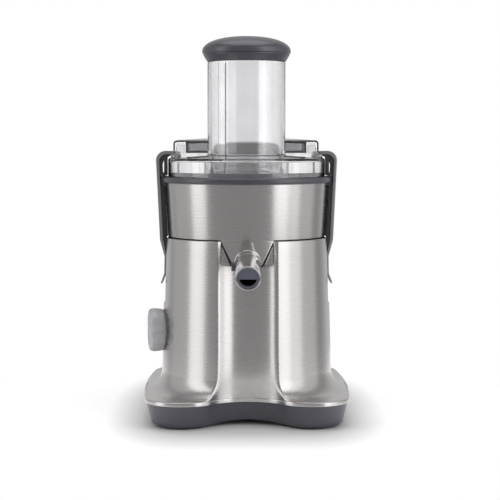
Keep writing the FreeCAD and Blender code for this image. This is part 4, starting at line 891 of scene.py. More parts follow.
@dataclass(frozen=True)
class BasePlan:
    """Outline of the machine's base, seen from above."""

    lobe_spread: float = 0.0675
    lobe_reach: float = 0.066
    lobe_radius: float = 0.040
    scoop_reach: float = 0.1205
    side_radius: float = 1.004
    corner_spread: float = 0.0612
    corner_reach: float = 0.113
    corner_radius: float = 0.045
    rear_reach: float = 0.158
    spacing: float = 0.0018
    least_steps: int = 3

    def sweep(self, centre: Vector, radius: float, grow: float, start: float, end: float) -> list[Vector]:
        """Points on an arc, without its end.

        Args:
            centre: Centre of the arc.
            radius: Its radius on the base outline.
            grow: How much larger it is drawn.
            start: Angle of its start.
            end: Angle of its end.
        Returns:
            The points.
        """
        count = max(self.least_steps, math.ceil(abs(end - start) * radius / self.spacing))
        angles = [start + (end - start) * index / count for index in range(count)]
        return [centre + Vector((math.cos(angle), math.sin(angle))) * (radius + grow) for angle in angles]

    def outline(self, inset: float) -> list[Vector]:
        """Points of the outline, anticlockwise from the middle of the scoop.

        Args:
            inset: How far it lies inside the base.
        Returns:
            The points.
        """
        lobe = Vector((self.lobe_spread, -self.lobe_reach))
        scoop = Vector((0.0, -self.scoop_reach))
        corner = Vector((self.corner_spread, self.corner_reach))
        chord = corner - lobe
        near = self.side_radius - self.lobe_radius
        far = self.side_radius - self.corner_radius
        along = (near * near - far * far + chord.length_squared) / (2 * chord.length)
        off = math.sqrt(near * near - along * along)
        ahead = chord.normalized()
        side = lobe + ahead * along + Vector((-ahead.y, ahead.x)) * off
        scoop_turn = math.atan2(lobe.y - scoop.y, lobe.x - scoop.x)
        lobe_turn = math.atan2(lobe.y - side.y, lobe.x - side.x)
        corner_turn = math.atan2(corner.y - side.y, corner.x - side.x)
        scoop_radius = (lobe - scoop).length - self.lobe_radius
        right = self.sweep(scoop, scoop_radius, inset, math.pi / 2, scoop_turn)
        right += self.sweep(lobe, self.lobe_radius, -inset, scoop_turn - math.pi, lobe_turn)
        right += self.sweep(side, self.side_radius, -inset, lobe_turn, corner_turn)
        right += self.sweep(corner, self.corner_radius, -inset, corner_turn, math.pi / 2)
        rear = self.rear_reach - inset
        count = math.ceil(self.corner_spread / self.spacing)
        right += [Vector((self.corner_spread * (1 - index / count), rear)) for index in range(count)]
        left = [Vector((-point.x, point.y)) for point in reversed(right[1:])]
        return right + [Vector((0.0, rear))] + left


def blended(first: float, second: float, width: float) -> float:
    """The smaller of two numbers, with the change between them rounded.

    Args:
        first: One number.
        second: The other number.
        width: Width of the rounding.
    Returns:
        The blended number.
    """
    share = min(1.0, max(0.0, 0.5 + 0.5 * (second - first) / width))
    return second + (first - second) * share - width * share * (1 - share)


def eased(value: float, start: float, end: float) -> float:
    """How far a value has come from start to end, eased at both ends.

    Args:
        value: The value.
        start: Where the way starts.
        end: Where it ends.
    Returns:
        A share between nought and one.
    """
    share = min(1.0, max(0.0, (value - start) / (end - start)))
    return share * share * (3 - 2 * share)


@dataclass
class MotorBase:
    """Steel motor housing, dark skirt and feet."""

    shop: Workshop
    plan: BasePlan = BasePlan()
    seam: float = 0.0257
    rim_height: float = 0.0043
    rim_round: float = 0.0014
    column_top_radius: float = 0.088
    column_foot_radius: float = 0.092
    column_rows: tuple[float, ...] = (0.02, 0.045)
    top_round: float = 0.0008
    edge_steps: int = 4
    cove_radius: float = 0.021
    cove_steps: int = 14
    cove_row: float = 0.01
    wall: float = 0.0015
    crease: float = 0.004
    scoop_radius: float = 0.0465
    scoop_half: float = 0.0303
    scoop_foot: float = 0.031
    scoop_rise: float = 0.07
    recess_depth: float = 0.0029
    recess_lean: float = 0.002
    recess_drop: float = 0.071
    recess_half: float = 0.019
    recess_edge: float = 0.0008
    recess_row: float = 0.002
    recess_rows: tuple[float, ...] = (0.03, 0.05)
    recess_cosine: float = 0.5
    slot_half: float = 0.0089
    slot_start: float = 0.0113
    slot_end: float = 0.0166
    skirt_sink: float = 0.0034
    skirt_inset: float = 0.0018
    skirt_draft: float = 0.0045
    skirt_round: float = 0.0065
    skirt_steps: int = 7
    skirt_smooth: float = 25.0
    arch_half: float = 0.038
    arch_rise: float = 0.0042
    arch_front: float = -0.12
    arch_rear: float = -0.03
    arch_steps: int = 256
    vent_count: int = 7
    vent_pitch: float = 0.008
    vent_width: float = 0.003
    vent_length: float = 0.034
    foot_round: float = 0.0014
    foot_steps: int = 64
    groove_share: float = 0.7
    groove_width: float = 0.004
    groove_depth: float = 0.001

    def __post_init__(self) -> None:
        """Work out the heights of the column's two ends."""
        self.top = high("motor_housing").z
        self.rim = self.seam + self.rim_height

    def make(self) -> None:
        """Make all pieces of the base."""
        self.make_housing()
        self.make_skirt()
        self.make_feet()

    def column(self, height: float) -> float:
        """Radius of the column at a height, with the cove at its foot.

        Args:
            height: Height above the table.
        Returns:
            The radius.
        """
        foot = self.rim + self.cove_radius
        if height >= foot:
            share = (height - foot) / (self.top - foot)
            return self.column_foot_radius + (self.column_top_radius - self.column_foot_radius) * share
        drop = min(self.cove_radius, foot - height)
        return self.column_foot_radius + self.cove_radius - math.sqrt(self.cove_radius ** 2 - drop ** 2)

    def scoop(self, base: float, turn: float, height: float) -> float:
        """Distance of the scoop's wall from the axis, which grows out of the base outline.

        Args:
            base: Distance of the base outline that way.
            turn: Direction from the axis.
            height: Height above the table.
        Returns:
            The distance.
        """
        column = self.column(max(height, self.rim + self.cove_radius))
        drop = math.sqrt(self.scoop_radius ** 2 - self.scoop_half ** 2)
        centre = math.sqrt(column ** 2 - self.scoop_half ** 2) + drop
        ahead = -centre * math.sin(turn)
        spare = ahead * ahead - centre * centre + self.scoop_radius ** 2
        if ahead <= 0 or spare <= 0:
            return base
        share = eased(height, self.scoop_foot, self.scoop_rise)
        return base + (ahead - math.sqrt(spare) - base) * share

    def wall_reach(self, base: float, turn: float, height: float, inset: float) -> float:
        """Distance of the housing's wall from the axis, with the recesses for the clips.

        Args:
            base: Distance of the base outline that way.
            turn: Direction from the axis.
            height: Height above the table.
            inset: How far the wall is drawn in.
        Returns:
            The distance.
        """
        reach = blended(self.scoop(base, turn, height), self.column(height), self.crease)
        face = self.column_top_radius - self.recess_depth
        face += self.recess_lean * (self.top - height) / self.recess_drop
        aside = abs(reach * math.sin(turn))
        inside = 1 - eased(aside, self.recess_half - self.recess_edge, self.recess_half + self.recess_edge)
        floor = self.top - self.recess_drop
        inside *= eased(height, floor - self.recess_edge, floor + self.recess_edge)
        flat = face / max(abs(math.cos(turn)), self.recess_cosine)
        return reach + (min(reach, flat) - reach) * inside - inset

    def wall_levels(self) -> list[Point]:
        """Heights of the wall's rows of points, from the top down.

        Returns:
            Each height, and how far the wall is drawn in there.
        """
        floor = self.top - self.recess_drop
        heights = [self.top - drop for drop in (self.slot_start, self.slot_end, *self.recess_rows)]
        heights += [floor + rise for rise in (self.recess_row, self.recess_edge, 0.0)]
        heights += [floor - drop for drop in (self.recess_edge, self.recess_row, *self.column_rows)]
        heights.append(self.rim + self.cove_radius + self.cove_row)
        heights += [self.rim + rise for _, rise in quarter_round(self.cove_radius, self.cove_steps)]
        levels = [(self.top - drop, inset) for drop, inset in quarter_round(self.top_round, self.edge_steps)]
        return levels + [(height, 0.0) for height in heights]

    def make_housing(self) -> None:
        """Steel housing: the column with its scoop, recesses, cove and rim."""
        points = self.plan.outline(0.0)
        turns = [math.atan2(point.y, point.x) for point in points]
        bases = [point.length for point in points]
        rings = []
        for height, inset in self.wall_levels():
            reaches = [self.wall_reach(base, turn, height, inset) for base, turn in zip(bases, turns)]
            rings.append(polar_ring(reaches, turns, height))
        inner = [Vector(place).xy.length for place in rings[-1]]
        for drop, draw in quarter_round(self.rim_round, self.edge_steps):
            edge = self.plan.outline(draw)
            reaches = [max(least, point.length) for least, point in zip(inner, edge)]
            edge_turns = [math.atan2(point.y, point.x) for point in edge]
            rings.append(polar_ring(reaches, edge_turns, self.rim - drop))
        rings.append([(point.x, point.y, self.seam) for point in points])
        piece = lofted("housing_shell", rings)
        without_faces(piece, self.in_slot)
        thickened(piece, self.wall)
        self.shop.fit(piece, STEEL, "base", "steel", "motor_housing")

    def in_slot(self, middle: Vector) -> bool:
        """Whether a place on the wall lies in the slot of a recess."""
        level = self.slot_start < self.top - middle.z < self.slot_end
        return level and abs(middle.y) < self.slot_half and abs(middle.x) > self.recess_half

    def make_skirt(self) -> None:
        """Dark skirt under the housing, with a rounded lower edge, an arch in front and vents below."""
        foot = low("base_skirt").z - self.skirt_sink
        inset = self.skirt_inset + self.skirt_draft
        levels = [(self.seam, self.skirt_inset)]
        for draw, rise in quarter_round(self.skirt_round, self.skirt_steps):
            levels.append((foot + rise, inset + draw))
        rings = [[(point.x, point.y, height) for point in self.plan.outline(draw)] for height, draw in levels]
        piece = lofted("skirt_shell", rings, shut=True)
        middle = (low("base_skirt") + high("base_skirt")) / 2
        for index in range(self.vent_count):
            across = (index - (self.vent_count - 1) / 2) * self.vent_pitch
            size = (self.vent_width, self.vent_length, self.skirt_round)
            cut(piece, block("vent_tool", (across, middle.y, foot), size))
        bulge = (self.arch_half ** 2 + self.arch_rise ** 2) / (2 * self.arch_rise)
        centre = (0, (self.arch_front + self.arch_rear) / 2, foot + self.arch_rise - bulge)
        bpy.ops.mesh.primitive_cylinder_add(
            vertices=self.arch_steps, radius=bulge, depth=self.arch_rear - self.arch_front, location=centre,
            rotation=(math.pi / 2, 0, 0))
        cut(piece, adopt("arch_tool"))
        self.shop.fit(piece, DARK, "base", "dark_plastic", "base_skirt", angle=self.skirt_smooth)

    def make_feet(self) -> None:
        """Round rubber feet with a groove in their soles."""
        for node in ("foot_front_left", "foot_front_right", "foot_rear_left", "foot_rear_right"):
            lowest = low(node)
            highest = high(node)
            radius = (highest.x - lowest.x) / 2
            outer = radius * self.groove_share
            inner = outer - self.groove_width
            roof = lowest.z + self.groove_depth
            piece = turned(f"{node}_pad", [
                Knot(0, highest.z), Knot(radius, highest.z, self.foot_round / 2),
                Knot(radius, lowest.z, self.foot_round), Knot(outer, lowest.z, Fillet.FINE),
                Knot(outer - self.groove_depth, roof, Fillet.FINE),
                Knot(inner + self.groove_depth, roof, Fillet.FINE),
                Knot(inner, lowest.z, Fillet.FINE), Knot(0, lowest.z)], closed=False, steps=self.foot_steps)
            centre = (lowest + highest) / 2
            settled(piece, Matrix.Translation((centre.x, centre.y, 0)))
            self.shop.fit(piece, RUBBER, "base", "rubber", node)


@dataclass
class SpeedKnob:
    """Turned knob on the left of the column, with its collar."""

    shop: Workshop
    turn: float = 8.0
    level: float = 0.094
    back: float = 0.0922
    front: float = 0.1066
    radius: float = 0.0233
    back_draft: float = 0.0008
    front_draft: float = 0.0003
    swell: float = 0.004
    edge: float = 0.003
    shoulder_in: float = 0.45
    shoulder_drop: float = 0.2
    face_in: float = 1.6
    face_hub: float = 0.5
    smooth: float = 24.0
    waist: float = 0.0042
    waist_span: float = 0.85
    groove_width: float = 0.0012
    groove_depth: float = 0.0008
    groove_share: float = 1.4
    collar_bore: float = 0.012
    collar_radius: float = 0.0232
    collar_foot: float = 0.0865
    collar_foot_radius: float = 0.0165

    def make(self) -> None:
        """Make the knob and its collar."""
        swing = math.radians(self.turn)
        outward = Vector((-math.cos(swing), -math.sin(swing), 0))
        basis = outward.to_track_quat("Z", "Y").to_matrix().to_4x4()
        place = Matrix.Translation((0, 0, self.level)) @ basis
        sight = basis.inverted() @ Vector((0, -1, 0))
        self.make_knob(place, math.atan2(sight.y, sight.x))
        self.make_collar(place)

    def make_knob(self, place: Matrix, facing: float) -> None:
        """Knob with a waist towards the front and the back, and a pointer groove in its face.

        Args:
            place: Where it goes.
            facing: Direction of the front, seen along its axis.
        """
        edge = self.edge
        section = rounded([
            Knot(self.radius - self.back_draft, self.back, Fillet.FINE),
            Knot(self.radius, (self.back + self.front) / 2, self.swell),
            Knot(self.radius - self.front_draft, self.front - edge, Fillet.BROAD),
            Knot(self.radius - edge * self.shoulder_in, self.front - edge * self.shoulder_drop, Fillet.FULL),
            Knot(self.radius - edge * self.face_in, self.front, Fillet.BROAD),
            Knot(self.radius * self.face_hub, self.front)], closed=False)
        turns = [facing + math.tau * step / TURN_STEPS for step in range(TURN_STEPS)]
        dents = []
        for turn in turns:
            aside = abs((turn - facing + math.pi / 2) % math.pi - math.pi / 2)
            dents.append(self.waist * max(0.0, 1 - aside / self.waist_span) ** 2)
        rings = [polar_ring([reach - dent for dent in dents], turns, up) for reach, up in section]
        knob = lofted("knob_shape", rings, shut=True)
        size = (self.groove_width, self.radius * self.groove_share, self.groove_depth * 2)
        cut(knob, block("pointer_tool", (0, -self.radius, self.front), size))
        settled(knob, place)
        self.shop.fit(knob, KNOB_SILVER, "knob", "knob_silver", "speed_knob", angle=self.smooth)

    def make_collar(self, place: Matrix) -> None:
        """Collar between the column and the knob.

        Args:
            place: Where it goes.
        """
        rim = self.back - PLAY
        collar = turned("collar_shape", [
            Knot(self.collar_bore, self.collar_foot), Knot(self.collar_foot_radius, self.collar_foot),
            Knot(self.collar_radius, rim, Fillet.PLAIN), Knot(self.collar_bore, rim, Fillet.FINE)])
        settled(collar, place)
        self.shop.fit(collar, COLLAR, "base", "dark_plastic", "knob_bezel")


@dataclass
class JuiceBowl:
    """Steel band with its V apron, the trough's cheeks, black strips of painted shade in the gaps beside the
    apron, and the dark ring.
    """

    shop: Workshop
    band_height: float = 0.0576
    foot_radius: float = 0.0849
    top_radius: float = 0.088
    wall: float = 0.001
    apron_half_top: float = 0.0278
    apron_half_foot: float = 0.0147
    apron_drop: float = 0.026
    apron_flare: float = 0.0035
    apron_setback: float = 0.0007
    apron_grid: tuple[int, int] = (36, 16)
    apron_steps: int = 12
    # Widths of the gaps beside the apron, which black strips of painted shade fill.
    shade_gap: float = 0.0012
    shade_gap_foot: float = 0.0026
    shade_strip_lap: float = 0.0002
    cheek: float = 0.0008
    cheek_top_depth: float = 0.0008
    cheek_depth: float = 0.0165
    cheek_setback: float = 0.0009
    ring_inner: float = 0.078
    ring_round: float = 0.0024
    catch_drop: float = 0.0036
    catch_chin: float = 0.0014
    catch_rise: float = 0.0004
    catch_reach: float = 0.0006
    catch_half: float = 0.0122

    def __post_init__(self) -> None:
        """Work out the heights of the band's two ends."""
        self.band_top = low("bowl_ring").z
        self.band_low = self.band_top - self.band_height

    def make(self) -> None:
        """Make all pieces of the bowl."""
        self.make_band()
        self.make_cheeks()
        self.make_gap_shade()
        self.make_ring()

    def apron_edge(self, drop: float) -> Point:
        """Half width and reach of the apron.

        Args:
            drop: Distance below the band.
        Returns:
            Both sizes.
        """
        share = drop / self.apron_drop
        half = self.apron_half_top + (self.apron_half_foot - self.apron_half_top) * share
        return half, self.foot_radius - self.apron_setback + self.apron_flare * share

    def apron_place(self, across: float, up: float) -> Sequence[float]:
        """A point of the apron, from its place on the flat sheet.

        Args:
            across: Place from side to side, from minus one to one.
            up: Place from foot to top, from minus one to one.
        Returns:
            The point.
        """
        drop = self.apron_drop * (1 - up) / 2
        half, reach = self.apron_edge(drop)
        side = across * half
        return side, -math.sqrt(reach * reach - side * side), self.band_low - drop

    def edge_strip(self, name: str, top: Sequence[float], foot: Sequence[float]) -> Piece:
        """A strip along the right edge of the apron.

        Args:
            name: Name of the new object.
            top: Near and far side from the apron's edge, and front and back from its face, at the band.
            foot: The same at the apron's foot.
        Returns:
            The strip.
        """
        rings = []
        for step in range(self.apron_steps + 1):
            share = step / self.apron_steps
            drop = self.apron_drop * share
            half, reach = self.apron_edge(drop)
            near, far, front, back = (first + (last - first) * share for first, last in zip(top, foot))
            corners = [(half + near, front), (half + far, front), (half + far, back), (half + near, back)]
            rings.append([(side, depth - math.sqrt(reach * reach - side * side), self.band_low - drop)
                          for side, depth in corners])
        return lofted(name, rings, shut=True)

    def make_band(self) -> None:
        """Band and apron in one sheet."""
        band = turned("band_shape", [
            Knot(self.foot_radius - self.wall, self.band_low),
            Knot(self.foot_radius, self.band_low, Fillet.FINE), Knot(self.top_radius, self.band_top),
            Knot(self.top_radius - self.wall, self.band_top)], steps=FINE_STEPS)
        apron = pressed("apron_shape", *self.apron_grid, self.apron_place)
        thickened(apron, self.wall)
        bevelled(apron, Fillet.CRISP, angle=60)
        self.shop.fit(joined(band, apron), STEEL, "base", "steel", "bowl_band")

    def make_cheeks(self) -> None:
        """Steel cheeks on the slanted sides of the trough behind the apron."""
        front = self.cheek_setback
        back = front + self.cheek_top_depth
        top = (self.shade_gap, self.shade_gap + self.cheek, front, back)
        foot = (self.shade_gap_foot, self.shade_gap_foot + self.cheek, front, back + self.cheek_depth)
        right = self.edge_strip("trough_cheek_right", top, foot)
        bevelled(right, Fillet.HAIR)
        left = mirrored(right, "trough_cheek_left")
        self.shop.fit(joined(right, left), STEEL, "base", "steel")

    def make_gap_shade(self) -> None:
        """Black strips of painted shade in the gaps between the apron's slanted edges and the cheeks."""
        lap = self.shade_strip_lap
        back = self.cheek_setback + self.wall
        top = (-lap, self.shade_gap + lap, -lap, back)
        foot = (-lap, self.shade_gap_foot + lap, -lap, back)
        right = self.edge_strip("apron_gap_shade_right", top, foot)
        left = mirrored(right, "apron_gap_shade_left")
        # The black finish here is painted shade in the gaps.
        self.shop.fit(joined(right, left), BLACK, "base", "black_plastic")

    def make_ring(self) -> None:
        """Dark ring between the bowl and the lid, with a catch for each clip."""
        lowest = low("bowl_ring").z
        highest = high("bowl_ring").z
        reach = high("bowl_ring").x
        fillets = (Fillet.SMALL, self.ring_round, self.ring_round, Fillet.SMALL)
        ring = ringed("ring_shape", self.ring_inner, reach, lowest, highest, fillets, FINE_STEPS)
        foot = lowest - self.catch_drop
        head = highest + self.catch_rise
        end = reach + self.catch_reach
        catch = extruded("catch_right", [
            (self.top_radius - self.wall, foot), (self.top_radius + self.wall / 2, foot),
            (end, lowest - self.catch_chin), (end, head), (self.top_radius, head)],
            -self.catch_half, self.catch_half)
        bevelled(catch, Fillet.FINE, angle=30)
        piece = joined(ring, catch, mirrored(catch, "catch_left"))
        self.shop.fit(piece, DARK, "base", "dark_plastic", "bowl_ring")


@dataclass
class ClearLid:
    """Clear lid with its chute and the key in it, the pulp hood with its duct, and the seal."""

    shop: Workshop
    radius: float = 0.0846
    wall: float = 0.0025
    top_level: float = 0.2791
    crown_level: float = 0.2816
    edge_round: float = 0.0026
    inner_round: float = 0.0016
    chute_radius: float = 0.042
    chute_foot: float = 0.046
    chute_lip: float = 0.0008
    chute_step: float = 0.001
    key_angle: float = 40.5
    key_width: float = 0.010
    key_depth: float = 0.0016
    key_drop: float = 0.002
    hood_front: float = 0.046
    hood_rear: float = 0.152
    hood_half: float = 0.081
    hood_corner: float = 0.040
    hood_front_corner: float = 0.0045
    least_corner: float = 0.0002
    hood_low: float = 0.2638
    hood_end: float = 0.2976
    hood_arch: float = 0.98
    hood_round: float = 0.0036
    hood_rows: tuple[float, ...] = (0.9, 0.75, 0.5, 0.25, 0.02)
    seal_inner: float = 0.0788
    seal_height: float = 0.0046
    lug_inner: float = 0.0688
    lug_outer: float = 0.0782
    lug_top: float = 0.2925
    lug_depth: float = 0.016
    lug_corner: float = 0.003
    duct_half: float = 0.067
    duct_wall: float = 0.0022
    duct_front: float = 0.0505
    duct_rear: float = 0.118
    duct_floor: float = 0.2838
    duct_lip: float = 0.0018
    duct_gap: float = 0.0006
    duct_steps: int = 12

    def __post_init__(self) -> None:
        """Work out the heights of the lid's two ends."""
        self.foot = low("lid").z
        self.chute_top = high("lid").z

    def make(self) -> None:
        """Make all pieces of the lid."""
        piece = joined(self.make_disc(), self.make_hood(), self.make_key())
        self.shop.fit(piece, CLEAR, "base", "clear_plastic", "lid")
        self.make_seal()
        self.make_duct()
        self.make_lugs()

    def make_disc(self) -> Piece:
        """Disc, skirt and chute, cut off where the hood begins.

        Returns:
            The turned part.
        """
        inner = self.radius - self.wall
        bore = self.chute_radius - self.wall
        under = self.top_level - self.wall
        piece = turned("lid_shape", [
            Knot(self.radius, self.foot, Fillet.PLAIN), Knot(self.radius, self.top_level, self.edge_round),
            Knot(self.chute_radius, self.crown_level, Fillet.FULL),
            Knot(self.chute_radius, self.chute_top, self.chute_lip),
            Knot(bore, self.chute_top, self.chute_lip), Knot(bore, self.foot, Fillet.SMALL),
            Knot(self.chute_foot, self.foot, Fillet.SMALL),
            Knot(self.chute_foot, under + self.chute_step, Fillet.BROAD),
            Knot(inner, under, self.inner_round), Knot(inner, self.foot, Fillet.SMALL)], steps=FINE_STEPS)
        halved(piece, self.hood_front + self.wall / 2)
        return piece

    def hood_plan(self, inset: float) -> list[Point]:
        """Outline of the hood from above.

        Args:
            inset: How far it is drawn in.
        Returns:
            Its points.
        """
        half = self.hood_half - inset
        front = self.hood_front + inset
        rear = self.hood_rear - inset
        front_corner = max(self.hood_front_corner - inset, self.least_corner)
        rear_corner = max(self.hood_corner - inset, self.least_corner)
        return rounded([Knot(-half, front, front_corner), Knot(half, front, front_corner),
                        Knot(half, rear, rear_corner), Knot(-half, rear, rear_corner)])

    def arch(self, across: float) -> float:
        """Height of the hood's arched top.

        Args:
            across: Distance from the middle.
        Returns:
            The height.
        """
        sag = math.sqrt(self.hood_arch ** 2 - self.hood_half ** 2)
        return self.hood_end + math.sqrt(self.hood_arch ** 2 - across ** 2) - sag

    def in_opening(self, middle: Vector) -> bool:
        """Whether a place on the hood lies in its opening towards the disc."""
        return middle.y < self.hood_front + self.hood_front_corner / 2 and middle.z < self.crown_level

    def make_hood(self) -> Piece:
        """Hood over the pulp container, open below and towards the disc.

        Returns:
            The shell.
        """
        plan = self.hood_plan(0.0)
        rings = [[(x, y, height) for x, y in plan] for height in (self.hood_low, self.crown_level)]
        for draw, drop in quarter_round(self.hood_round, FILLET_STEPS):
            rings.append([(x, y, self.arch(x) - drop) for x, y in self.hood_plan(draw)])
        centre = Vector((0, (self.hood_front + self.hood_rear) / 2))
        last = [Vector(point) for point in self.hood_plan(self.hood_round)]
        for share in self.hood_rows:
            shrunk = [centre + (point - centre) * share for point in last]
            rings.append([(point.x, point.y, self.arch(point.x)) for point in shrunk])
        piece = lofted("hood_shape", rings)
        without_faces(piece, self.in_opening)
        with editing(piece) as mesh:
            bpy.ops.mesh.select_non_manifold(extend=False, use_wire=False, use_multi_face=False,
                                             use_non_contiguous=False, use_verts=False)
            for vertex in mesh.verts:
                if vertex.co.z < self.crown_level + MERGE:
                    vertex.select_set(False)
            mesh.select_flush(False)
            bpy.ops.mesh.edge_face_add()
            tidy_mesh()
        return thickened(piece, self.wall, even=True)

    def make_key(self) -> Piece:
        """Upright key on the inside of the chute.

        Returns:
            The bar.
        """
        bore = self.chute_radius - self.wall
        half = self.key_width / 2
        near = bore - self.key_depth
        far = bore + self.wall / 2
        outline = rounded([Knot(near, -half, Fillet.PLAIN), Knot(far, -half), Knot(far, half),
                           Knot(near, half, Fillet.PLAIN)])
        ends = (self.foot, self.chute_top - self.key_drop)
        rings = [[(x, y, height) for x, y in outline] for height in ends]
        piece = lofted("key_shape", rings, shut=True)
        return settled(piece, Matrix.Rotation(math.radians(-90 - self.key_angle), 4, "Z"))

    def make_seal(self) -> None:
        """Dark seal inside the foot of the lid."""
        outer = self.radius - self.wall - PLAY
        foot = self.foot + PLAY
        fillets = (Fillet.FINE, Fillet.FINE, Fillet.SOFT, Fillet.SOFT)
        seal = ringed("seal_shape", self.seal_inner, outer, foot, foot + self.seal_height, fillets)
        self.shop.fit(seal, DARK, "base", "dark_plastic")

    def make_duct(self) -> None:
        """Duct under the hood that leads the pulp back: a smoked pane in a dark frame, floor and walls."""
        half = self.duct_half
        wall = self.duct_wall
        foot = self.duct_floor
        roof = self.wall + self.duct_gap
        spread = [half * (1 - step / self.duct_steps) for step in range(2 * self.duct_steps + 1)]
        top_line = [(across, self.arch(across) - roof) for across in spread]
        pane_rear = self.duct_front + wall
        pane = extruded("duct_pane", [(-half, foot), (half, foot)] + top_line, self.duct_front, pane_rear)
        self.shop.fit(pane, SMOKED, "base", "smoked_plastic")
        sill = ((-half, half), (foot, foot + wall))
        post = ((half - wall, half), (foot, self.arch(half) - roof))
        behind = (pane_rear + PLAY, self.duct_rear)
        before = (self.hood_front + self.wall + PLAY, self.duct_front - PLAY)
        dark = [bar("duct_floor", *sill, behind), bar("duct_wall_right", *post, behind)]
        dark.append(mirrored(dark[-1], "duct_wall_left"))
        low_line = [(-across, height - self.duct_lip) for across, height in top_line]
        dark += [extruded("duct_lip", top_line + low_line, *before), bar("duct_sill", *sill, before),
                 bar("duct_post_right", *post, before)]
        dark.append(mirrored(dark[-1], "duct_post_left"))
        self.shop.fit(joined(*dark), BLACK, "base", "black_plastic")

    def make_lugs(self) -> None:
        """Clear lug at each end of the duct."""
        lug = extruded("hood_lug_right", rounded([
            Knot(self.lug_inner, self.duct_floor, Fillet.SOFT),
            Knot(self.lug_outer, self.duct_floor, Fillet.SOFT),
            Knot(self.lug_outer, self.lug_top, self.lug_corner),
            Knot(self.lug_inner, self.lug_top, Fillet.SOFT)]),
            self.duct_front, self.duct_front + self.lug_depth)
        bevelled(lug, Fillet.PLAIN, segments=3, angle=50)
        self.shop.fit(joined(lug, mirrored(lug, "hood_lug_left")), CLEAR, "base", "clear_plastic")


@dataclass
class Pusher:
    """Clear pusher tube with its dark cap."""

    shop: Workshop
    tube_radius: float = 0.039
    tube_wall: float = 0.003
    tube_lap: float = 0.001
    play: float = 0.0001
    steps: int = 200
    collar: float = 0.0424
    seam_level: float = 0.390
    seam_radius: float = 0.0466
    seam_draw: float = 0.0004
    seam_rise: float = 0.0006
    seam_sink: float = 0.0004
    edge_level: float = 0.393
    edge_draw: float = 0.0002
    edge_rise: float = 0.0012
    fullness: float = 2.2
    dome_steps: int = 28
    cap_wall: float = 0.003
    socket_rise: float = 0.0015
    hollow: float = 4.0

    def make(self) -> None:
        """Make the cap, the tube and the plug in its foot."""
        self.make_cap()
        lowest = low("pusher_tube").z
        inner = self.tube_radius - self.tube_wall
        tube = ringed("tube_shape", inner, self.tube_radius, lowest, self.seam_level + self.tube_lap,
                      (Fillet.FINE, Fillet.SOFT, 0, 0), self.steps)
        self.shop.fit(tube, PUSHER_CLEAR, "pusher", "clear_plastic", "pusher_tube")
        plug = ringed("plug_shape", 0, inner - self.play, lowest, high("pusher_base").z,
                      (0, Fillet.FINE, Fillet.FINE, 0))
        self.shop.fit(plug, PUSHER_CLEAR, "pusher", "clear_plastic", "pusher_base")

    def make_cap(self) -> None:
        """Domed cap with a rounded edge, a seam and a collar under it."""
        lowest = low("pusher_cap").z
        top = high("pusher_cap").z
        reach = high("pusher_cap").x
        power = 2 / self.fullness
        section = []
        for step in range(self.dome_steps + 1):
            angle = math.pi / 2 * step / self.dome_steps
            rise = (top - self.edge_level) * math.cos(angle) ** power
            section.append(Knot(reach * math.sin(angle) ** power, self.edge_level + rise))
        seam = self.seam_level
        mouth = self.tube_radius + self.play
        inner = self.tube_radius - self.cap_wall
        section += [Knot(reach - self.edge_draw, seam + self.edge_rise, Fillet.PLAIN),
                    Knot(self.seam_radius - self.seam_draw, seam + self.seam_rise, Fillet.CRISP),
                    Knot(self.seam_radius, seam - self.seam_sink, Fillet.SMALL),
                    Knot(self.collar, lowest, Fillet.BROAD), Knot(mouth, lowest, Fillet.CRISP),
                    Knot(mouth, seam + self.socket_rise), Knot(inner, seam + self.socket_rise),
                    Knot(inner, top - self.cap_wall * self.hollow), Knot(0, top - self.cap_wall)]
        cap = turned("cap_shape", section, closed=False, steps=self.steps)
        self.shop.fit(cap, DARK, "pusher", "dark_plastic", "pusher_cap")


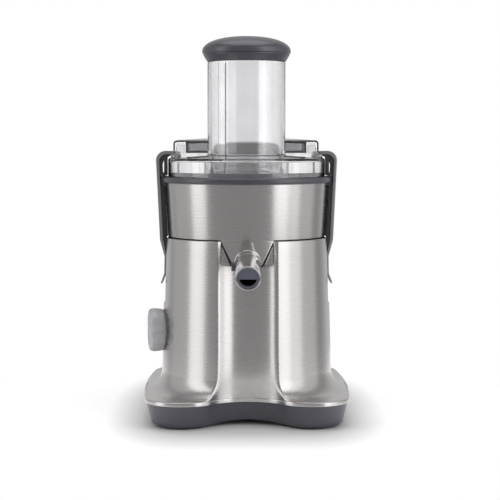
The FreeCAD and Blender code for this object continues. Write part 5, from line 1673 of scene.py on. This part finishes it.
@dataclass
class Spout:
    """Root on the apron, turning sleeve with its tab, and the insert in the sleeve's mouth."""

    shop: Workshop
    origin: Vector = Vector((0, -0.1047, 0.1758))
    tilt: float = 15.0
    neck_tilt: float = 30.0
    neck_back: float = 0.0295
    neck_small: float = 0.007
    neck_growth: float = 0.0005
    neck_waist: float = 0.72
    neck_bend: float = 0.3
    neck_swell: float = 0.86
    neck_curve: float = 0.01
    neck_large: float = 0.0118
    neck_land: float = 0.0012
    neck_draft: float = 0.0003
    neck_end: float = 0.0006
    spigot: float = 0.0106
    spigot_bore: float = 0.0065
    spigot_sink: float = 0.001
    spigot_length: float = 0.018
    radius: float = 0.01275
    bore: float = 0.0111
    length: float = 0.0519
    overlap: float = 0.0003
    lip: float = 0.0005
    lip_length: float = 0.004
    lip_slope: float = 0.0004
    groove_place: float = 0.0124
    groove_width: float = 0.0012
    groove_depth: float = 0.0005
    groove_slope: float = 0.0002
    mouth_round: float = 0.001
    setback: float = 0.0009
    insert_depth: float = 0.0035
    moon_radius: float = 0.0089
    moon_drop: float = 0.001
    moon_spare: float = 0.001

    def on_axis(self, tilt: float) -> Matrix:
        """Place of something drawn about Z on a tilted axis through the spout's shoulder.

        Args:
            tilt: How far the axis points down, in degrees.
        Returns:
            The place.
        """
        return Matrix.Translation(self.origin) @ Matrix.Rotation(math.radians(90 + tilt), 4, "X")

    def make(self) -> None:
        """Make all pieces of the spout."""
        self.make_root()
        self.make_sleeve()
        self.make_insert()
        tab = fettled("spout_tab", Fillet.SOFT, angle=30)
        self.shop.fit(tab, DARK, "spout", "black_plastic", "spout_tab")

    def make_root(self) -> None:
        """Cone off the apron, with the spigot that the sleeve turns on."""
        back = self.neck_back
        large = self.neck_large
        neck = turned("neck_shape", [
            Knot(0, -back), Knot(self.neck_small, -back),
            Knot(self.neck_small + self.neck_growth, -back * self.neck_waist),
            Knot(large * self.neck_swell, -back * self.neck_bend, self.neck_curve),
            Knot(large, -self.neck_land, Fillet.FULL),
            Knot(large - self.neck_draft, self.neck_end, Fillet.FINE), Knot(0, self.neck_end)], closed=False)
        settled(neck, self.on_axis(self.neck_tilt))
        spigot = ringed("spigot_shape", self.spigot_bore, self.spigot, -self.spigot_sink, self.spigot_length,
                        (0, 0, Fillet.PLAIN, Fillet.PLAIN))
        settled(spigot, self.on_axis(self.tilt))
        self.shop.fit(joined(neck, spigot), SPOUT_STEEL, "base", "spout_steel", "spout_root")

    def make_sleeve(self) -> None:
        """Polished sleeve with a lip behind, a groove round it and a rounded mouth, with painted shade on the
        faces of its bore.
        """
        lip = self.radius + self.lip
        groove = self.radius - self.groove_depth
        groove_end = self.groove_place + self.groove_width
        sleeve = turned("sleeve_shape", [
            Knot(self.bore, -self.overlap), Knot(lip, -self.overlap, Fillet.FINE),
            Knot(lip, self.lip_length, Fillet.FINE),
            Knot(self.radius, self.lip_length + self.lip_slope, Fillet.CRISP),
            Knot(self.radius, self.groove_place, Fillet.HAIR),
            Knot(groove, self.groove_place + self.groove_slope),
            Knot(groove, groove_end - self.groove_slope), Knot(self.radius, groove_end, Fillet.HAIR),
            Knot(self.radius, self.length, self.mouth_round), Knot(self.bore, self.length, Fillet.FINE)])
        # Faces on the bore get the near-black finish below: painted shade inside the sleeve.
        inside = [max(sleeve.data.vertices[index].co.xy.length for index in face.vertices) < self.bore + MERGE
                  for face in sleeve.data.polygons]
        settled(sleeve, self.on_axis(self.tilt))
        self.shop.fit(sleeve, SPOUT_STEEL, "spout", "spout_steel", "spout_sleeve")
        sleeve.data.materials.append(self.shop.material(PAINTED_BORE_SHADE))
        for face, dark in zip(sleeve.data.polygons, inside):
            face.material_index = int(dark)

    def make_insert(self) -> None:
        """Dark disc in the mouth with an opening in its lower half."""
        face = self.length - self.setback
        back = face - self.insert_depth
        insert = ringed("insert_shape", 0, self.bore, back, face, (0, 0, Fillet.FINE, 0))
        moon = ringed("moon_tool", 0, self.moon_radius, back - self.moon_spare, face + self.moon_spare)
        halved(moon, -self.moon_drop)
        cut(insert, moon)
        bevelled(insert, Fillet.HAIR, angle=50)
        settled(insert, self.on_axis(self.tilt))
        self.shop.fit(insert, INSERT, "spout", "insert_plastic", "spout_insert")


@dataclass
class SideClips:
    """The two locking clips: steel strip, black liner with its pad, and the hinge on the lid."""

    shop: Workshop
    hinge_x: float = 0.076
    hinge_level: float = 0.2832
    barrel: float = 0.0032
    barrel_steps: int = 48
    pin: float = 0.0016
    half: float = 0.015
    flange: float = 0.0018
    flange_crown: float = 0.0036
    flange_side: float = 0.0035
    web: float = 0.0022
    edge: float = 0.0004
    crown: Knot = Knot(0.0976, 0.2871, 0.015)
    shin: Knot = Knot(0.0932, 0.1914, 0.01)
    waist: Knot = Knot(0.0884, 0.1738, 0.01)
    curl: Knot = Knot(0.0888, 0.155, 0.01)
    tip: Knot = Knot(0.0928, 0.1444)
    pad_half: float = 0.0122
    pad_gap: float = 0.0005
    pad_top: float = 0.2484
    pad_slope: float = 0.0014
    pad_foot: float = 0.1946
    pad_end: float = 0.187
    pad_reaches: tuple[float, float, float] = (0.0912, 0.0921, 0.0938)
    band_top_radius: float = 0.0879
    band_foot_radius: float = 0.0851
    column_radius: float = 0.0881

    def corners(self, crown: float, side: float, tail: float) -> list[Knot]:
        """Outline of the right strip, from the hinge round the crown to the tip and back inside.

        Args:
            crown: Thickness over the lid.
            side: Thickness down the bowl.
            tail: Thickness in the recess and the curl.
        Returns:
            The corners.
        """
        start = self.hinge_level + self.barrel
        outer = [Knot(self.hinge_x, start), self.crown, self.shin, self.waist, self.curl, self.tip]
        walls = ((self.tip, tail), (self.curl, tail), (self.waist, tail), (self.shin, side))
        inner = [replace(knot, across=knot.across - wall) for knot, wall in walls]
        inner.append(Knot(self.crown.across - side, self.crown.up - crown, self.crown.fillet - crown))
        inner.append(Knot(self.hinge_x, start - crown))
        return outer + inner

    def make(self) -> None:
        """Make both clips."""
        strip = self.make_strip()
        strips = {Side.RIGHT: strip, Side.LEFT: mirrored(strip, "strip_shape_left")}
        pad = self.make_pad()
        pads = {Side.RIGHT: pad, Side.LEFT: mirrored(pad, "clip_pad_left")}
        for side, piece in strips.items():
            word = side.name.lower()
            self.shop.fit(piece, STRIP_STEEL, f"clip_{word}", "steel", f"clip_strip_{word}")
            liner = fettled(f"clip_liner_{word}", Fillet.SMALL, angle=25)
            self.shop.fit(liner, LINER, f"clip_{word}", "black_plastic", f"clip_liner_{word}")
            self.shop.fit(pads[side], LINER, f"clip_{word}", "black_plastic")
            ears = fettled(f"clip_hinge_{word}", Fillet.PLAIN, angle=25)
            self.shop.fit(ears, CLEAR, "base", "clear_plastic", f"clip_hinge_{word}")

    def make_strip(self) -> Piece:
        """Right strip: a web between two flanges, with the barrel that turns on the pin.

        Returns:
            The strip.
        """
        inner = self.half - self.flange
        thin = rounded(self.corners(self.web, self.web, self.web))
        deep = rounded(self.corners(self.flange_crown, self.flange_side, self.web))
        web = extruded("strip_shape_right", thin, -inner, inner)
        front = extruded("flange_front", deep, -self.half, -inner)
        rear = extruded("flange_rear", deep, inner, self.half)
        barrel = ringed("barrel_shape", self.pin, self.barrel, -self.half, self.half,
                        (0, self.edge, self.edge, 0), self.barrel_steps)
        lying = Matrix.Rotation(math.pi / 2, 4, "X")
        settled(barrel, Matrix.Translation((self.hinge_x, 0, self.hinge_level)) @ lying)
        for part in (web, front, rear):
            bevelled(part, self.edge, angle=50)
        return joined(web, front, rear, barrel)

    def make_pad(self) -> Piece:
        """Soft pad that fills the space between the right liner and the bowl's band.

        Returns:
            The pad.
        """
        end_reach, foot_reach, top_reach = self.pad_reaches
        column = self.column_radius + self.pad_gap
        return extruded("clip_pad_right", [
            (column, self.pad_end), (end_reach, self.pad_end), (foot_reach, self.pad_foot),
            (top_reach, self.pad_top + self.pad_slope), (self.band_top_radius + self.pad_gap, self.pad_top),
            (self.band_foot_radius + self.pad_gap, self.pad_foot), (column, self.pad_foot)],
            -self.pad_half, self.pad_half)


@dataclass
class PulpContainer:
    """Smoked container behind the column."""

    shop: Workshop
    edge: float = 0.0008
    sharp: float = 35.0

    def make(self) -> None:
        """Make the container from the CAD node's shape, with its edges rounded."""
        piece = fettled("pulp_container", self.edge, self.sharp)
        self.shop.fit(piece, SMOKED, "container", "smoked_plastic", "pulp_container")


@dataclass
class InnerWorks:
    """CAD nodes that keep their own shape."""

    shop: Workshop

    def make(self) -> None:
        """Give every shown CAD node its finish."""
        nodes = frame["record"]["subparts"]
        LOG.info("record has %d nodes", len(nodes))
        self.shop.carry_over({entry["node"]: entry["material_slot"] for entry in nodes})


# The studio

@dataclass(frozen=True)
class Softbox:
    """A soft lamp on a ring round the machine."""

    name: str
    azimuth: float
    distance: float
    height: float
    width: float
    tall: float
    radiance: float

    def make(self, target: Vector) -> None:
        """Add the lamp.

        Args:
            target: What it points at.
        """
        lamp = bpy.data.lights.new(self.name, "AREA")
        lamp.shape = "RECTANGLE"
        lamp.size = self.width
        lamp.size_y = self.tall
        lamp.energy = self.radiance * math.pi * self.width * self.tall
        item = bpy.data.objects.new(self.name, lamp)
        bpy.context.scene.collection.objects.link(item)
        turn = math.radians(self.azimuth)
        item.location = (self.distance * math.sin(turn), -self.distance * math.cos(turn), self.height)
        item.rotation_euler = (target - item.location).to_track_quat("-Z", "Y").to_euler()


@dataclass(frozen=True)
class Studio:
    """Camera, lamps, floor and the white room."""

    lamps: tuple[Softbox, ...] = (
        Softbox("left_key", -71, 1.5, 0.6, 0.74, 1.9, 1.15),
        Softbox("left_rear", -104, 1.6, 0.6, 1.05, 1.9, 0.22),
        Softbox("right_key", 49, 1.5, 0.6, 0.68, 1.9, 1.4),
        Softbox("right_side", 71, 1.5, 0.6, 0.5, 1.9, 0.87),
        Softbox("right_rear", 95, 1.5, 0.6, 0.75, 1.9, 0.34),
        Softbox("top_light", 0, -0.15, 1.7, 1.4, 1.4, 1.3))
    aim: float = 0.2
    lens: float = 109.15
    sensor: float = 36.0
    distance: float = 1.642
    height: float = 0.3038
    pitch: float = 4.34
    azimuth: float = 0.7
    aside: float = 0.0038
    mirror_levels: Point = (0.3, 0.6)
    mirror_span: Point = (0.55, 0.8)
    glass_levels: Point = (1.0, 0.8)
    glass_span: Point = (0.5, 0.98)
    ambient_levels: Point = (0.7, 0.25)
    ambient_span: Point = (-0.9, 0.9)
    floor_half: float = 0.3
    floor_front: float = -0.22
    floor_rear: float = 0.5
    floor_white: Colour = (0.7, 0.7, 0.7, 1)
    floor_mottle: float = 3.0
    floor_spread: float = 0.01
    floor_roughness: float = 0.9
    # Box round the machine where the floor has no painted glow, so the floor stays darker there.
    core_half: float = 0.066
    core_front: float = -0.056
    core_rear: float = 0.085
    front_ease: float = 0.54
    rear_ease: float = 0.35
    glow_span: Point = (0.032, 0.085)
    glow_levels: Point = (0.0, 0.5)

    def make(self) -> None:
        """Set up the whole studio."""
        self.make_camera()
        self.make_world()
        self.make_floor()
        for lamp in self.lamps:
            lamp.make(Vector((0, 0, self.aim)))
        bpy.context.scene.view_settings.view_transform = "Standard"

    def make_camera(self) -> None:
        """Camera of the main view."""
        data = bpy.data.cameras.new("main_camera")
        data.lens = self.lens
        data.sensor_width = self.sensor
        data.sensor_fit = "HORIZONTAL"
        camera = bpy.data.objects.new("main_camera", data)
        bpy.context.scene.collection.objects.link(camera)
        turn = math.radians(self.azimuth)
        camera.location = (-self.distance * math.sin(turn) + self.aside * math.cos(turn),
                           -self.distance * math.cos(turn) - self.aside * math.sin(turn), self.height)
        camera.rotation_euler = (math.radians(90 - self.pitch), 0, -turn)
        bpy.context.scene.camera = camera

    def make_world(self) -> None:
        """White room, with its own level for mirrors, for glass and for plain light."""
        world = bpy.data.worlds.new("white_room")
        bpy.context.scene.world = world
        graph = Graph(world)
        rays = graph.add("LightPath").outputs
        ahead = graph.parts(graph.add("TexCoord").outputs["Generated"])["Y"]
        mirror = graph.ranged(ahead, self.mirror_span, self.mirror_levels)
        glass = graph.ranged(graph.reckon("ABSOLUTE", ahead), self.glass_span, self.glass_levels)
        level = graph.ranged(ahead, self.ambient_span, self.ambient_levels)
        for ray, value in (("Is Glossy Ray", mirror), ("Is Transmission Ray", glass), ("Is Camera Ray", 1.0)):
            mix = graph.add("Mix", {"Factor": rays[ray], "A": level, "B": value}, data_type="FLOAT")
            level = mix.outputs[0]
        shade = graph.add("Background", {"Color": (1, 1, 1, 1), "Strength": level})
        graph.add("OutputWorld", {"Surface": shade.outputs[0]})

    def make_floor(self) -> None:
        """White floor that keeps the machine's real shadow, with painted glow that rises away from the
        machine, leaving painted shade round it.
        """
        half = self.floor_half
        floor = drawn("studio_floor", [(-half, self.floor_front, 0), (half, self.floor_front, 0),
                                       (half, self.floor_rear, 0), (-half, self.floor_rear, 0)])
        with editing(floor):
            bpy.ops.mesh.select_all(action="SELECT")
            bpy.ops.mesh.edge_face_add()
        graph = Graph(bpy.data.materials.new("floor_white"))
        place = graph.place()
        parts = graph.parts(place)
        # Distance from the core box: the painted glow is nil inside and rises outside, so near the machine
        # the floor is darker by painted shade as well as by its real shadow.
        aside = graph.reckon("SUBTRACT", graph.reckon("ABSOLUTE", parts["X"]), self.core_half)
        before = graph.reckon("SUBTRACT", self.core_front, parts["Y"])
        behind = graph.reckon("SUBTRACT", parts["Y"], self.core_rear)
        depth = graph.reckon("MAXIMUM", graph.reckon("MULTIPLY", before, self.front_ease),
                             graph.reckon("MULTIPLY", behind, self.rear_ease))
        both = graph.add("CombineXYZ", {"X": aside, "Y": depth}).outputs[0]
        outside = graph.add("VectorMath", {0: both, 1: (0, 0, 0)}, operation="MAXIMUM").outputs[0]
        reach = graph.add("VectorMath", {0: outside}, operation="LENGTH").outputs["Value"]
        shade = graph.shades(graph.noise(place, self.floor_mottle), self.floor_white, self.floor_spread)
        paint = graph.add("BsdfPrincipled", {
            "Base Color": shade, "Roughness": self.floor_roughness, "Specular IOR Level": 0.0,
            "Emission Color": (1, 1, 1, 1),
            "Emission Strength": graph.ranged(reach, self.glow_span, self.glow_levels)})
        floor.data.materials.append(graph.done(paint))


def main() -> None:
    """Build the machine and the studio."""
    logging.basicConfig(level=logging.INFO, format="%(name)s: %(message)s")
    shop = Workshop()
    for assembly in (InnerWorks(shop), MotorBase(shop), SpeedKnob(shop), JuiceBowl(shop), Spout(shop),
                     ClearLid(shop), Pusher(shop), SideClips(shop), PulpContainer(shop)):
        LOG.info("making %s", type(assembly).__name__)
        assembly.make()
    Studio().make()


if __name__ == "__main__":
    main()
